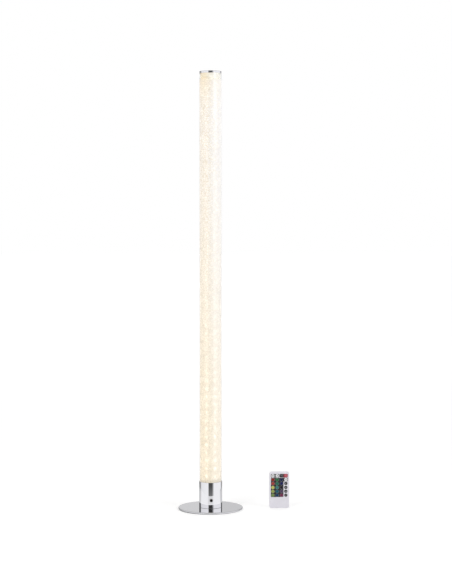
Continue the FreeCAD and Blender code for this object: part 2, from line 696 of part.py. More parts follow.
def led_chips():
    """The square light packages along the strips."""
    seat = MAST_WIDTH / 2 + STRIP_THICKNESS
    chips = []
    for number in range(LED_COUNT):
        level = STRIP_BOTTOM + LED_FIRST_RISE + number * LED_PITCH
        chips.append(block((seat, seat + LED_HEIGHT), about(0, LED_SIZE), about(level, LED_SIZE)))
    return Part.makeCompound(on_mast_faces(chips))


def strip_leads():
    """Leads from the board up inside the mast and out to the foot of each strip."""
    inside = STRIP_LEAD_CIRCLE / 2
    outside = MAST_WIDTH / 2 + STRIP_LEAD_DIAMETER / 2 + SLIDE_CLEARANCE
    level = STRIP_BOTTOM - STRIP_LEAD_DROP
    route = [
        Vector(inside, 0, BOARD_TOP + LEAD_SOCKET_HEIGHT),
        Vector(inside, 0, level),
        Vector(outside, 0, level),
        Vector(outside, 0, STRIP_BOTTOM),
    ]
    lead = round_wire(route, STRIP_LEAD_BEND, STRIP_LEAD_DIAMETER)
    return Part.makeCompound(on_mast_faces([lead]))


def crackle_film():
    """The rolled sheet that spreads the light, open along a seam at the back."""
    outer = TUBE_BORE_RADIUS - FILM_CLEARANCE
    top = PLUG_BOTTOM - FILM_END_GAP
    roll = ring(outer, outer - FILM_THICKNESS, SPIGOT_TOP, top)
    return roll.cut(block(about(0, FILM_SEAM), (0, TUBE_RADIUS), (SPIGOT_TOP, top)))


def outer_tube():
    """The clear acrylic tube of the column."""
    return ring(TUBE_RADIUS, TUBE_BORE_RADIUS, TUBE_BOTTOM, TUBE_TOP)


def top_plug():
    """The moulded plug that closes the column and steadies the top of the mast."""
    solids = [
        cylinder(CAP_BORE_RADIUS - SLIDE_CLEARANCE, TUBE_TOP, TUBE_TOP + PLUG_FLANGE_THICKNESS),
        mast_pocket(PLUG_BOTTOM, WEB_BOTTOM, SPIGOT_RADIUS),
        cylinder(SPIGOT_RADIUS, WEB_BOTTOM, WEB_TOP),
    ]
    spigot = ring(SPIGOT_RADIUS, SPIGOT_RADIUS - SPIGOT_WALL, PLUG_BOTTOM, TUBE_TOP)
    plug = spigot.fuse(solids).removeSplitter()
    well = cylinder(SPIGOT_RADIUS - SPIGOT_WALL, WEB_TOP, TUBE_TOP + PLUG_FLANGE_THICKNESS)
    screw_hole = cylinder(CAP_SCREW_DIAMETER / 2 + HOLE_CLEARANCE, WEB_BOTTOM, WEB_TOP)
    return plug.cut([well, screw_hole])


def top_cap():
    """The chromed cap over the plug, with a threaded boss in the middle."""
    cap = cylinder(TUBE_RADIUS, TUBE_TOP, OVERALL_HEIGHT)
    cap = cap.makeFillet(CAP_EDGE_RADIUS, edges_at_level(cap, OVERALL_HEIGHT))
    ceiling = OVERALL_HEIGHT - CAP_WALL
    cap = cap.cut(cylinder(CAP_BORE_RADIUS, TUBE_TOP, ceiling))
    cap = cap.fuse(cylinder(CAP_BOSS_DIAMETER / 2, WEB_TOP, ceiling))
    return cap.cut(cylinder(CAP_SCREW_DIAMETER / 2, WEB_TOP, ceiling))


def cap_screw():
    """The screw that draws the cap down on the plug, driven from below."""
    head_bottom = WEB_BOTTOM - CAP_SCREW_HEAD_HEIGHT
    head = cylinder(CAP_SCREW_HEAD_DIAMETER / 2, head_bottom, WEB_BOTTOM)
    shank = cylinder(CAP_SCREW_DIAMETER / 2 - THREAD_CLEARANCE, WEB_BOTTOM, WEB_BOTTOM + CAP_SCREW_LENGTH)
    span = CAP_SCREW_HEAD_DIAMETER / 2
    recess = cross_recess(ORIGIN, head_bottom, CROSS_RECESS_DEPTH, CROSS_RECESS_WIDTH, span)
    return head.fuse(shank).cut(recess)


def remote_prism(inset, bottom, top):
    """The remote's outline in plan, drawn in by an inset, between two heights."""
    x = about(REMOTE_X, REMOTE_WIDTH - 2 * inset)
    y = (inset, REMOTE_LENGTH - inset)
    return rounded_block(x, y, (bottom, top), REMOTE_CORNER - inset)


def key_place(row, column):
    """The middle of one key in plan."""
    x = REMOTE_X + (column - (KEY_COLUMNS - 1) / 2) * COLUMN_PITCH
    y = REMOTE_LENGTH - KEY_TOP_MARGIN - KEY_DIAMETER / 2 - row * ROW_PITCH
    return Vector(x, y, 0)


def key_holes(bottom, top):
    """The round holes that the keys stand in."""
    holes = []
    for row in range(KEY_ROWS):
        for column in range(KEY_COLUMNS):
            foot = key_place(row, column) + UP * bottom
            holes.append(Part.makeCylinder(KEY_HOLE_RADIUS, top - bottom, foot))
    return holes


def tray_slot():
    """The space in the side wall that the battery tray slides out through."""
    x = (REMOTE_SIDE - TRAY_FRONT, REMOTE_SIDE)
    width = TRAY_WIDTH + 2 * TRAY_SLOT_CLEARANCE
    return block(x, about(TRAY_Y, width), (BACK_FLOOR, TRAY_TOP + TRAY_CLEARANCE))


def emitter_hole():
    """The hole in the upper end that the emitter looks out of."""
    start = Vector(REMOTE_X, EMITTER_RIM_FRONT, EMITTER_LEVEL)
    end = Vector(REMOTE_X, REMOTE_LENGTH, EMITTER_LEVEL)
    return rod(EMITTER_RADIUS + EMITTER_CLEARANCE, start, end)


def remote_face_shell():
    """The front half of the case, with the key holes and a tongue that fits inside the back half."""
    shell = remote_prism(0, BACK_SHELL_HEIGHT, REMOTE_THICKNESS)
    shell = shell.makeFillet(FACE_EDGE_RADIUS, edges_at_level(shell, REMOTE_THICKNESS))
    shell = shell.cut(remote_prism(REMOTE_WALL, BACK_SHELL_HEIGHT, FACE_UNDERSIDE))
    tongue_inset = REMOTE_WALL + TONGUE_CLEARANCE
    tongue_bottom = BACK_SHELL_HEIGHT - TONGUE_DEPTH
    tongue = remote_prism(tongue_inset, tongue_bottom, FACE_UNDERSIDE)
    tongue = tongue.cut(remote_prism(tongue_inset + TONGUE_WIDTH, tongue_bottom, FACE_UNDERSIDE))
    shell = shell.fuse(tongue).removeSplitter()
    return shell.cut(key_holes(FACE_UNDERSIDE, REMOTE_THICKNESS) + [tray_slot(), emitter_hole()])


def post_places():
    """The posts that carry the remote's board, near its corners and half way along."""
    inset = REMOTE_BOARD_INSET + POST_DIAMETER
    front = REMOTE_BOARD_FRONT + POST_DIAMETER
    back = REMOTE_BOARD_BACK - POST_DIAMETER
    places = []
    for x in about(REMOTE_X, REMOTE_WIDTH - 2 * inset):
        for y in (front, (front + back) / 2, back):
            places.append(Vector(x, y, BACK_FLOOR))
    return places


def remote_back_shell():
    """The back half of the case, with posts for the board and rails for the battery tray."""
    shell = remote_prism(0, 0, BACK_SHELL_HEIGHT)
    shell = shell.makeFillet(BACK_EDGE_RADIUS, edges_at_level(shell, 0))
    shell = shell.cut(remote_prism(REMOTE_WALL, BACK_FLOOR, BACK_SHELL_HEIGHT))
    solids = []
    for place in post_places():
        solids.append(Part.makeCylinder(POST_DIAMETER / 2, REMOTE_BOARD_BOTTOM - BACK_FLOOR, place))
    rail_gap = TRAY_WIDTH + 2 * TRAY_SLOT_CLEARANCE
    rail_x = (TRAY_INNER_END, REMOTE_SIDE - TRAY_FRONT)
    for y in about(TRAY_Y, rail_gap + RAIL_WIDTH):
        solids.append(block(rail_x, about(y, RAIL_WIDTH), (BACK_FLOOR, BACK_FLOOR + RAIL_HEIGHT)))
    shell = shell.fuse(solids).removeSplitter()
    return shell.cut([tray_slot(), emitter_hole()])


def panel_block(rows, columns):
    """A printed panel behind a run of keys, from the first to the last row and column given."""
    first = key_place(rows[0], columns[0])
    last = key_place(rows[1], columns[1])
    reach_x = (COLUMN_PITCH - PANEL_GAP) / 2
    reach_y = (ROW_PITCH - PANEL_GAP) / 2
    x = (first.x - reach_x, last.x + reach_x)
    y = (last.y - reach_y, first.y + reach_y)
    return rounded_block(x, y, (REMOTE_THICKNESS, REMOTE_THICKNESS + PANEL_THICKNESS), PANEL_CORNER)


def remote_key_panels():
    """The dark panels on the face: brightness, power, and the colours with the white key beside them."""
    brightness = panel_block((0, 0), (0, 1))
    power = panel_block((0, 0), (2, 3))
    colours = panel_block((1, KEY_ROWS - 1), (0, 2)).fuse(panel_block((1, 1), (0, 3))).removeSplitter()
    panels = Part.makeCompound([brightness, power, colours])
    return panels.cut(key_holes(REMOTE_THICKNESS, REMOTE_THICKNESS + PANEL_THICKNESS))


def remote_board():
    """The remote's circuit board, on its posts."""
    x = about(REMOTE_X, REMOTE_WIDTH - 2 * REMOTE_BOARD_INSET)
    return block(x, (REMOTE_BOARD_FRONT, REMOTE_BOARD_BACK), (REMOTE_BOARD_BOTTOM, MEMBRANE_BOTTOM))


def remote_key_membrane():
    """The rubber contact sheet between the keys and the board."""
    x = about(REMOTE_X, REMOTE_WIDTH - 2 * (REMOTE_BOARD_INSET + MEMBRANE_INSET))
    y = (REMOTE_BOARD_FRONT + 2 * MEMBRANE_INSET, REMOTE_BOARD_BACK - MEMBRANE_INSET)
    return block(x, y, (MEMBRANE_BOTTOM, MEMBRANE_TOP))


def remote_ir_emitter():
    """The emitter that looks out of the upper end, with its leads behind the board."""
    rim_back = Vector(REMOTE_X, REMOTE_BOARD_BACK, EMITTER_LEVEL)
    rim_front = Vector(REMOTE_X, EMITTER_RIM_FRONT, EMITTER_LEVEL)
    lens_middle = Vector(REMOTE_X, REMOTE_LENGTH - EMITTER_RADIUS, EMITTER_LEVEL)
    lens = [rod(EMITTER_RADIUS, rim_front, lens_middle), Part.makeSphere(EMITTER_RADIUS, lens_middle)]
    emitter = rod(EMITTER_RIM_RADIUS, rim_back, rim_front).fuse(lens)
    lead_y = (REMOTE_BOARD_BACK - EMITTER_LEAD_LENGTH, REMOTE_BOARD_BACK)
    lead_z = (REMOTE_BOARD_BOTTOM - EMITTER_LEAD_SIZE, REMOTE_BOARD_BOTTOM)
    for x in about(REMOTE_X, EMITTER_LEAD_SPACING):
        emitter = emitter.fuse(block(about(x, EMITTER_LEAD_SIZE), lead_y, lead_z))
    return emitter


def remote_key(row, column):
    """One round key with the lip that keeps it in the case."""
    top = REMOTE_THICKNESS + KEY_PROUD
    place = key_place(row, column)
    stem = Part.makeCylinder(KEY_DIAMETER / 2, top - KEY_LIP_BOTTOM, place + UP * KEY_LIP_BOTTOM)
    stem = stem.makeFillet(KEY_EDGE_RADIUS, edges_at_level(stem, top))
    return stem.fuse(Part.makeCylinder(KEY_LIP_RADIUS, KEY_LIP_THICKNESS, place + UP * KEY_LIP_BOTTOM))


def remote_battery_tray():
    """The tray that carries the coin cell out of the side, shaped to the case, with a groove for a nail."""
    tray = block((TRAY_INNER_END, REMOTE_SIDE), (TRAY_FOOT_GAP, TRAY_EDGE), (TRAY_BOTTOM, TRAY_TOP))
    tray = tray.common(remote_prism(0, TRAY_BOTTOM, TRAY_TOP))
    well_radius = BATTERY_DIAMETER / 2 + BATTERY_CLEARANCE
    well_foot = Vector(BATTERY_X, TRAY_Y, BATTERY_BOTTOM)
    well = Part.makeCylinder(well_radius, TRAY_TOP - BATTERY_BOTTOM, well_foot)
    groove_x = (REMOTE_SIDE - GRIP_DEPTH, REMOTE_SIDE)
    groove = block(groove_x, about(TRAY_Y, GRIP_WIDTH), about((TRAY_BOTTOM + TRAY_TOP) / 2, GRIP_HEIGHT))
    return tray.cut([well, groove])


def remote_battery():
    """The coin cell in the tray."""
    foot = Vector(BATTERY_X, TRAY_Y, BATTERY_BOTTOM)
    cell = Part.makeCylinder(BATTERY_DIAMETER / 2, BATTERY_THICKNESS, foot)
    top = BATTERY_BOTTOM + BATTERY_THICKNESS
    return cell.makeFillet(BATTERY_EDGE_RADIUS, edges_at_level(cell, top))


def remote_contacts():
    """The two leaf contacts that reach from the board over the coin cell."""
    leaf_z = (CONTACT_BOTTOM, CONTACT_BOTTOM + CONTACT_THICKNESS)
    foot_y = (REMOTE_BOARD_FRONT, REMOTE_BOARD_FRONT + CONTACT_THICKNESS)
    contacts = []
    for x in about(BATTERY_X, CONTACT_SPACING):
        width = about(x, CONTACT_WIDTH)
        leaf = block(width, (TRAY_EDGE - CONTACT_REACH, foot_y[1]), leaf_z)
        foot = block(width, foot_y, (MEMBRANE_BOTTOM, leaf_z[1]))
        contacts.append(leaf.fuse(foot).removeSplitter())
    return Part.makeCompound(contacts)


LAMP_PIECES = (
    floor_pad,
    base_plate,
    base_screws,
    collar_seal,
    base_collar,
    tube_socket,
    ir_window,
    ir_bezel,
    ir_receiver,
    receiver_leads,
    controller_board,
    board_components,
    board_screws,
    power_inlet,
    inlet_nut,
    supply_wires,
    led_mast,
    led_strips,
    led_chips,
    strip_leads,
    crackle_film,
    outer_tube,
    top_plug,
    top_cap,
    cap_screw,
)
REMOTE_PIECES = (
    remote_face_shell,
    remote_back_shell,
    remote_key_panels,
    remote_board,
    remote_key_membrane,
    remote_ir_emitter,
    remote_battery_tray,
    remote_battery,
    remote_contacts,
)


def stand_up(shape):
    """Stands a piece of the remote, drawn on its back, on the foot end, with the keys to the front."""
    shape.rotate(ORIGIN, SIDEWAYS, 90)
    shape.translate(BACKWARD * (REMOTE_Y + REMOTE_THICKNESS / 2))
    return shape


def main():
    """Writes each piece to its own file."""
    os.makedirs("parts", exist_ok=True)
    for make in LAMP_PIECES:
        make().exportStep(f"parts/{make.__name__}.step")
    for make in REMOTE_PIECES:
        stand_up(make()).exportStep(f"parts/{make.__name__}.step")
    for row, names in enumerate(KEY_NAMES):
        for column, name in enumerate(names):
            stand_up(remote_key(row, column)).exportStep(f"parts/{name}.step")


main()
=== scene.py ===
import json
import math
import random

import bmesh
import bpy
from mathutils import Matrix, Vector


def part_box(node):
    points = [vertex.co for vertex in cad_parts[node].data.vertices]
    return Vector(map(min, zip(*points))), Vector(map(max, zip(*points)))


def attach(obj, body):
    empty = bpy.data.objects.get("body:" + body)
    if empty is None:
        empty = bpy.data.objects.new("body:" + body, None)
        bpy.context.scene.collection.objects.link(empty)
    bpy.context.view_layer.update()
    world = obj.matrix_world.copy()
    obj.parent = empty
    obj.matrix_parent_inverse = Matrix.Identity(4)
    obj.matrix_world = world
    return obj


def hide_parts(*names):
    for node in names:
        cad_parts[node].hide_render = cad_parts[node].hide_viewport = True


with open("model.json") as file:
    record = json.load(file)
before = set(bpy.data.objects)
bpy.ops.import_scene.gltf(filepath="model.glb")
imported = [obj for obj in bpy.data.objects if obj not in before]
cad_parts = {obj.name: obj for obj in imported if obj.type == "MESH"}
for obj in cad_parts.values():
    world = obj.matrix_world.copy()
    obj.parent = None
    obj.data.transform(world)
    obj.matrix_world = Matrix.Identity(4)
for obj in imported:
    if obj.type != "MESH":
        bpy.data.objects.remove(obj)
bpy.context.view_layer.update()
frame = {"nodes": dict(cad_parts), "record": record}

# Lengths are in metres, save the camera's sensor, which is in millimetres. The lamp's axis is the
# frame's Z axis, and the camera looks nearly along +Y.

# Sizes read from the frame
TUBE_LOW, TUBE_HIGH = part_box("outer_tube")
FILM_LOW, FILM_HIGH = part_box("crackle_film")
LAMP_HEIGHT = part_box("top_cap")[1].z
CHIPS_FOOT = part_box("led_chips")[0].z
PLATE_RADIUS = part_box("base_plate")[1].x
PARTING_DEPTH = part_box("remote_back_shell")[0].y
KEY_NODES = [node for node in frame["nodes"] if node.startswith("key_")]
REMOTE_NODES = [node for node in frame["nodes"] if node.startswith("remote_")]

# Camera, set by the picture's perspective: lens, distance from the axis, eye height and angles. The view
# is turned a little from the lamp's front, which brings the signal eye right of the middle.
IMAGE_LONG_SIDE = 584
SENSOR = 36.0
FOCAL_PIXELS = 1515.7
CAMERA_AWAY = 4.15
CAMERA_HEIGHT = 0.800
CAMERA_PITCH = math.radians(-2.778)
CAMERA_YAW = math.radians(-0.585)
VIEW_TURN = math.radians(-3.2)

# Studio as polished metal sees it. Bands: share of a full turn measured from behind, and brightness.
# A half is the side of the camera, a quarter is the left and three quarters the right.
STUDIO_BANDS = (
    (0.000, 0.705),
    (0.040, 0.705),
    (0.060, 0.10),
    (0.160, 0.08),
    (0.195, 0.93),
    (0.300, 1.00),
    (0.425, 1.05),
    (0.835, 1.05),
    (0.868, 0.08),
    (0.940, 0.10),
    (0.960, 0.645),
    (1.000, 0.645),
)
# The soft light that falls on the object from all sides
WORLD_LEVEL = 0.60
# The dark room in front: its left and right edges as turns from the front, and its brightness at
# three slopes of view: down over the table's edge, level, and up
FRONT_LEFT = (-0.076, -0.044)
FRONT_RIGHT = (0.038, 0.106)
FRONT_EDGE_SLOPE = (-0.1825, -0.1725)
FRONT_EDGE_LEVEL = (0.22, 0.068)
FRONT_LEVEL = 0.13
FRONT_HIGH_SLOPE = (0.12, 0.16)
FRONT_HIGH_LEVEL = 0.05
# Behind the lamp: grey below, and a light sheet that reaches from the collar to the cap
REAR_LEFT = -0.32
REAR_RIGHT = 0.365
REAR_EDGE = 0.01
REAR_GREY = 0.36
REAR_GREY_TOP = 0.13
REAR_SHEET = (-0.1635, 0.092)
REAR_SHEET_LEVEL = 0.60
SLOPE_EDGE = 0.004
# Steeper views meet a grey ceiling above and a white floor below
CEILING_SLOPE = (0.22, 0.32)
CEILING_LEVEL = 0.55
GROUND_SLOPE = (-0.32, -0.22)
GROUND_LEVEL = 0.95

# Softboxes: name, place, side and power
LAMPS = (
    ("key_softbox", (-1.9, -2.4, 2.4), 1.6, 26.0),
    ("fill_softbox", (2.3, -1.9, 1.9), 1.6, 20.0),
    ("top_softbox", (0.2, 0.7, 3.0), 2.0, 16.0),
)

# Floor, and the light added to what the eye sees of it: by the lamp, where the softboxes reach, and far away
FLOOR_SIZE = 60.0
FLOOR_COLOUR = 0.80
FLOOR_ROUGHNESS = 0.9
FLOOR_LIFT = (0.30, 0.54)
FLOOR_LIFT_REACH = 5.0

# Round table top, which glows with painted light: its front and rear reach, its painted brightness, the
# painted shade round the plate from the left to the middle, painted shade behind the lamp and slight painted
# shade in front
CARD_FRONT = 0.252
CARD_REAR = 0.390
CARD_DROP = 0.0004
CARD_LEVEL = 1.05
CARD_SHADE_PLACE = (-0.070, 0.0)
CARD_SHADE = (0.20, 0.62)
CARD_SHADE_WIDTH = 0.020
CARD_REAR_TURN = (0.26, 0.33)
CARD_REAR_FADE = (0.28, 0.40)
CARD_REAR_SHADE = (0.64, 0.38)
CARD_FRONT_TURN = (0.045, 0.085)
CARD_FRONT_SHADE = 0.80
CARD_FRONT_FADE = (0.115, 0.140)
CARD_STEPS = 160

# Tube wall: thickness, rims, the facets of its bore, the steps outside to each facet, and its draw lines
TUBE_WALL = 0.0020
TUBE_RIM_BEVEL = 0.0003
BORE_SEED = 5
BORE_RELIEF = 0.0005
OUTSIDE_STEPS = 4
ACRYLIC_IOR = 1.49
DRAW_LINE = 0.0025
DRAW_LINE_STRETCH = (1.0, 1.0, 0.02)
DRAW_LINE_BUMP = 0.15
# Edges that turn by more than this stay sharp in smooth shading
SHARP_ANGLE = math.radians(35)

# Crackle sleeve: facet size, how far the facets stand in and out, sheet thickness and seam
CRACKLE_SEED = 11
FACET = 0.0040
FACET_JITTER = 0.36
FACET_RELIEF = 0.00045
SLEEVE_THICKNESS = 0.0003
SLEEVE_CLEARANCE = 0.00004
SEAM_WIDTH = 0.0010

# LEDs: their size and pitch along the mast, the first one's middle, and the light round each
LED_SIDE = 0.005
LED_PITCH = 0.022
LED_FIRST = CHIPS_FOOT + LED_SIDE / 2
LED_CORE = 0.001
LED_HALO = 0.008
LED_TOP_SHARE = 0.1
LED_LEVEL = (0.8, 3.4)
WARM_LIGHT = (1.0, 0.91, 0.74)
WARM_WHITE = (1.0, 0.97, 0.90)

# The film's cream low and high on its left, the painted light added from left to right that whitens its
# right side, where it glows a little less, and the height where the high cream is reached. Under the cap a
# painted shade takes it back down, more on the left than on the right.
LOW_CREAM = (0.968, 0.788, 0.540)
HIGH_CREAM = (0.968, 0.895, 0.855)
RIGHT_PAINTED_LIGHT = (0.0, 0.068, 0.172)
RIGHT_LEVEL = 0.95
CREAM_SIDES = (0.75 * FILM_LOW.x, 0.38 * FILM_HIGH.x)
CREAM_HIGH_AT = 1.05
CREAM_CAP_REACH = 0.080
CAP_PAINTED_SHADE = (0.90, 0.25)
# The shade at the film's foot, where the collar holds it
FOOT_REACH = 0.016
FOOT_LEVEL = 0.65
# Crackle cells: their size, how far and how finely they are bent, and how they differ from each other
CRACKLE_CELL = 0.0060
CRACKLE_WARP = 0.0040
CRACKLE_WARP_SIZE = 0.0040
WHITE_CELLS = 0.3
CELL_LEVELS = (0.95, 1.05)
# The crackle lines: edges as shares of a cell, colour, brightness, and strength on the left and the right
CRACKLE_LINE_EDGES = (0.02, 0.12)
CRACKLE_LINE = (0.87, 0.73, 0.56)
CRACKLE_LINE_LEVEL = 0.86
CRACKLE_LINE_SIDES = (1.15, 0.35)
# How brightly the film glows where it clings to the tube and by itself, and how much each hides
BOND_GLOW = 0.595
BOND_FACETS = (0.96, 1.04)
BOND_CLEARNESS = 0.25
SLEEVE_GLOW = 0.22
SLEEVE_COVER = (0.15, 0.35)

# The plug under the cap, with a painted glow: warm painted shade on its left, white painted light from the
# middle on
PLUG_SIDES = (0.6 * TUBE_LOW.x, 0.1 * TUBE_HIGH.x)
PLUG_SHADED_LEFT = (0.92, 0.69, 0.37)
PLUG_LIT_RIGHT = (1.0, 0.98, 0.95)
PLUG_GLOW = 0.40

# Grain of the finishes: sizes of its spots, depth of its relief, the noise levels that roughness follows,
# and how far the roughness of moulded stock strays
BROAD_GRAIN = 0.02
FINE_GRAIN = 0.0006
FINE_GRAIN_ROUGHNESS = 0.6
METAL_GRAIN = 0.0004
STOCK_GRAIN = 0.0008
PACKAGE_GRAIN = 0.0005
RUBBER_GRAIN = 0.0004
BOARD_WEAVE = 0.0012
BOARD_WEAVE_DEPTH = 0.00003
FOAM_CELL = 1.0 / 900.0
FOAM_CELL_DEPTH = 0.0003
LENS_HAZE = 0.003
WIPE_MARK = 0.05
SOFT_DETAIL = 2.0
GRAIN_DEPTH = 0.00002
GRAIN_LEVELS = (0.2, 0.8)
HAZE_LEVELS = (0.3, 0.8)
WIPE_LEVELS = (0.35, 0.75)
GLOSS_SPREAD = 0.06

# Remote: the parting line of its case, and the red half of the upper panel
PARTING_WIDTH = 0.00010
PARTING_SHARE = 0.7
PARTING_GREY = 0.12
ON_RED = (0.36, 0.02, 0.035)

# Remote keys: the outline of one key, and the painted highlight that lightens its rim
KEY_STEPS = 64
KEY_RADIUS = 0.0045
KEY_LIP_THICKNESS = 0.0006
KEY_ROUND = 0.0006
KEY_ROUND_STEPS = 6
KEY_RIM_HIGHLIGHT = 0.06
DISH_RADIUS = 0.0032
DISH_DEPTH = 0.00015
DISH_STEPS = 5

# Marks printed on the keys: letters, words, suns (core and reach), strokes and small outlines
MARK_THICKNESS = 0.00006
MARK_SINK = 0.00002
LETTER_SIZE = 0.0036
WORD_SIZE = 0.0026
LETTER_STEPS = 4
LARGE_SUN = (0.0011, 0.0026)
SMALL_SUN = (0.0008, 0.0020)
SUN_SIDES = 24
SUN_RAYS = 8
RAY_WIDTH = 0.0003
RAY_GAP = 0.0003
STROKE_WIDTH = 0.0005
BAR_HEIGHTS = (0.0018, 0.0030, 0.0018)
BAR_PITCH = 0.0010
WAVE_REACH = 0.0019
WAVE_RISE = 0.0007
WAVE_STEPS = 24
BOLT_LEFT = ((0.0004, 0.0019), (-0.0012, -0.0003), (-0.0002, -0.0003))
BOLT_RIGHT = ((-0.0005, -0.0019), (0.0012, 0.0004), (0.0002, 0.0004))
WEDGE = ((-0.0018, -0.0008), (0.0018, -0.0008), (0.0018, 0.0010))


def feed(tree, socket, value):
    """Gives a socket another node's output or a plain value; a colour is three numbers."""
    if isinstance(value, bpy.types.NodeSocket):
        tree.links.new(value, socket)
    elif socket.type == "RGBA":
        socket.default_value = (*value, 1.0)
    else:
        socket.default_value = value


def tree_node(tree, kind, inputs=None, **settings):
    """Adds a shader node, sets it up and feeds its inputs."""
    made = tree.nodes.new(kind)
    for setting, value in settings.items():
        setattr(made, setting, value)
    for name, value in (inputs or {}).items():
        feed(tree, made.inputs[name], value)
    return made


def maths(tree, operation, first, second=0.0, clamp=False):
    made = tree_node(tree, "ShaderNodeMath", {0: first, 1: second}, operation=operation, use_clamp=clamp)
    return made.outputs[0]


def times(tree, first, second):
    return maths(tree, "MULTIPLY", first, second)


def vector_maths(tree, operation, inputs, output=0):
    return tree_node(tree, "ShaderNodeVectorMath", inputs, operation=operation).outputs[output]


def length(tree, vector):
    return vector_maths(tree, "LENGTH", {0: vector}, "Value")


def axes(tree, vector):
    """The X, Y and Z of a vector."""
    return tree_node(tree, "ShaderNodeSeparateXYZ", {"Vector": vector}).outputs


def span(tree, value, low, high, start=0.0, end=1.0):
    """Maps low..high onto start..end smoothly and holds the ends."""
    made = tree_node(
        tree,
        "ShaderNodeMapRange",
        {"Value": value, "From Min": low, "From Max": high, "To Min": start, "To Max": end},
        interpolation_type="SMOOTHSTEP",
    )
    return made.outputs["Result"]


def blend(tree, share, first, second, kind="MIX"):
    """Mixes two colours, or adds a share of the second to the first."""
    colours = {0: share, 6: first, 7: second}
    return tree_node(tree, "ShaderNodeMix", colours, data_type="RGBA", blend_type=kind).outputs[2]


def grain(tree, place, size, detail=3.0, roughness=0.5):
    """Noise between 0 and 1 whose spots measure about the given size."""
    made = tree_node(
        tree,
        "ShaderNodeTexNoise",
        {"Vector": place, "Scale": 1.0 / size, "Detail": detail, "Roughness": roughness},
    )
    return made.outputs["Fac"]


def fine_grain(tree, place, size=FINE_GRAIN):
    """The sharp grain of moulded stock."""
    return grain(tree, place, size, roughness=FINE_GRAIN_ROUGHNESS)


def bump(tree, height, depth, strength=1.0):
    made = tree_node(tree, "ShaderNodeBump", {"Height": height, "Distance": depth, "Strength": strength})
    return made.outputs["Normal"]


def object_place(tree):
    return tree_node(tree, "ShaderNodeTexCoord").outputs["Object"]


def light_path(tree):
    return tree_node(tree, "ShaderNodeLightPath").outputs


def seen_by_eye(tree):
    """1 for rays from the camera, also those that came through something clear, and else 0."""
    rays = light_path(tree)
    return maths(tree, "MAXIMUM", rays["Is Camera Ray"], rays["Is Transmission Ray"])


def surface(name):
    """A new material, its node tree and the object's own coordinates."""
    material = bpy.data.materials.new(name)
    material.use_nodes = True
    tree = material.node_tree
    return material, tree, object_place(tree)


def finish(material, inputs):
    """Feeds the named sockets of a material's Principled shader."""
    tree = material.node_tree
    shader = tree.nodes["Principled BSDF"]
    for name, value in inputs.items():
        feed(tree, shader.inputs[name], value)
    return material


def glow(material, colour, level):
    """Makes a surface shine, without sampling it as a lamp."""
    material.cycles.emission_sampling = "NONE"
    return finish(material, {"Emission Color": colour, "Emission Strength": level})


def grey(level):
    return (level, level, level)


def on_circle(radius, angle, level):
    """A point round the Z axis."""
    return (radius * math.cos(angle), radius * math.sin(angle), level)


def add_object(name, data):
    made = bpy.data.objects.new(name, data)
    bpy.context.scene.collection.objects.link(made)
    return made


def camera():
    data = bpy.data.cameras.new("photo_camera")
    data.sensor_width = SENSOR
    data.lens = FOCAL_PIXELS / IMAGE_LONG_SIDE * SENSOR
    made = add_object("photo_camera", data)
    made.location = Matrix.Rotation(VIEW_TURN, 3, "Z") @ Vector((0.0, -CAMERA_AWAY, CAMERA_HEIGHT))
    made.rotation_euler = (math.radians(90) + CAMERA_PITCH, 0.0, CAMERA_YAW + VIEW_TURN)
    bpy.context.scene.camera = made


def turn_from_front(tree, parts):
    """Share of a full turn about the vertical, from the front: left is below 0 and right is above."""
    ahead = times(tree, parts["Y"], -1.0)
    return maths(tree, "DIVIDE", maths(tree, "ARCTAN2", parts["X"], ahead), 2.0 * math.pi)


def studio_bands(tree, turn):
    """The bright and dark bands all round the lamp."""
    ramp = tree_node(tree, "ShaderNodeValToRGB", {"Fac": maths(tree, "ADD", turn, 0.5)})
    stops = ramp.color_ramp.elements
    while len(stops) < len(STUDIO_BANDS):
        stops.new(0.5)
    for stop, (place, level) in zip(stops, STUDIO_BANDS):
        stop.position = place
        stop.color = (*grey(level), 1.0)
    return ramp.outputs["Color"]


def front_level(tree, slope):
    """Brightness of the dark room in front: fades over the table's edge, and is darkest high up."""
    edge = span(tree, slope, *FRONT_EDGE_SLOPE, *FRONT_EDGE_LEVEL)
    middle = span(tree, slope, *REAR_SHEET, 0.0, FRONT_LEVEL - FRONT_EDGE_LEVEL[1])
    high = span(tree, slope, *FRONT_HIGH_SLOPE, 0.0, FRONT_HIGH_LEVEL - FRONT_LEVEL)
    return maths(tree, "ADD", edge, maths(tree, "ADD", middle, high))


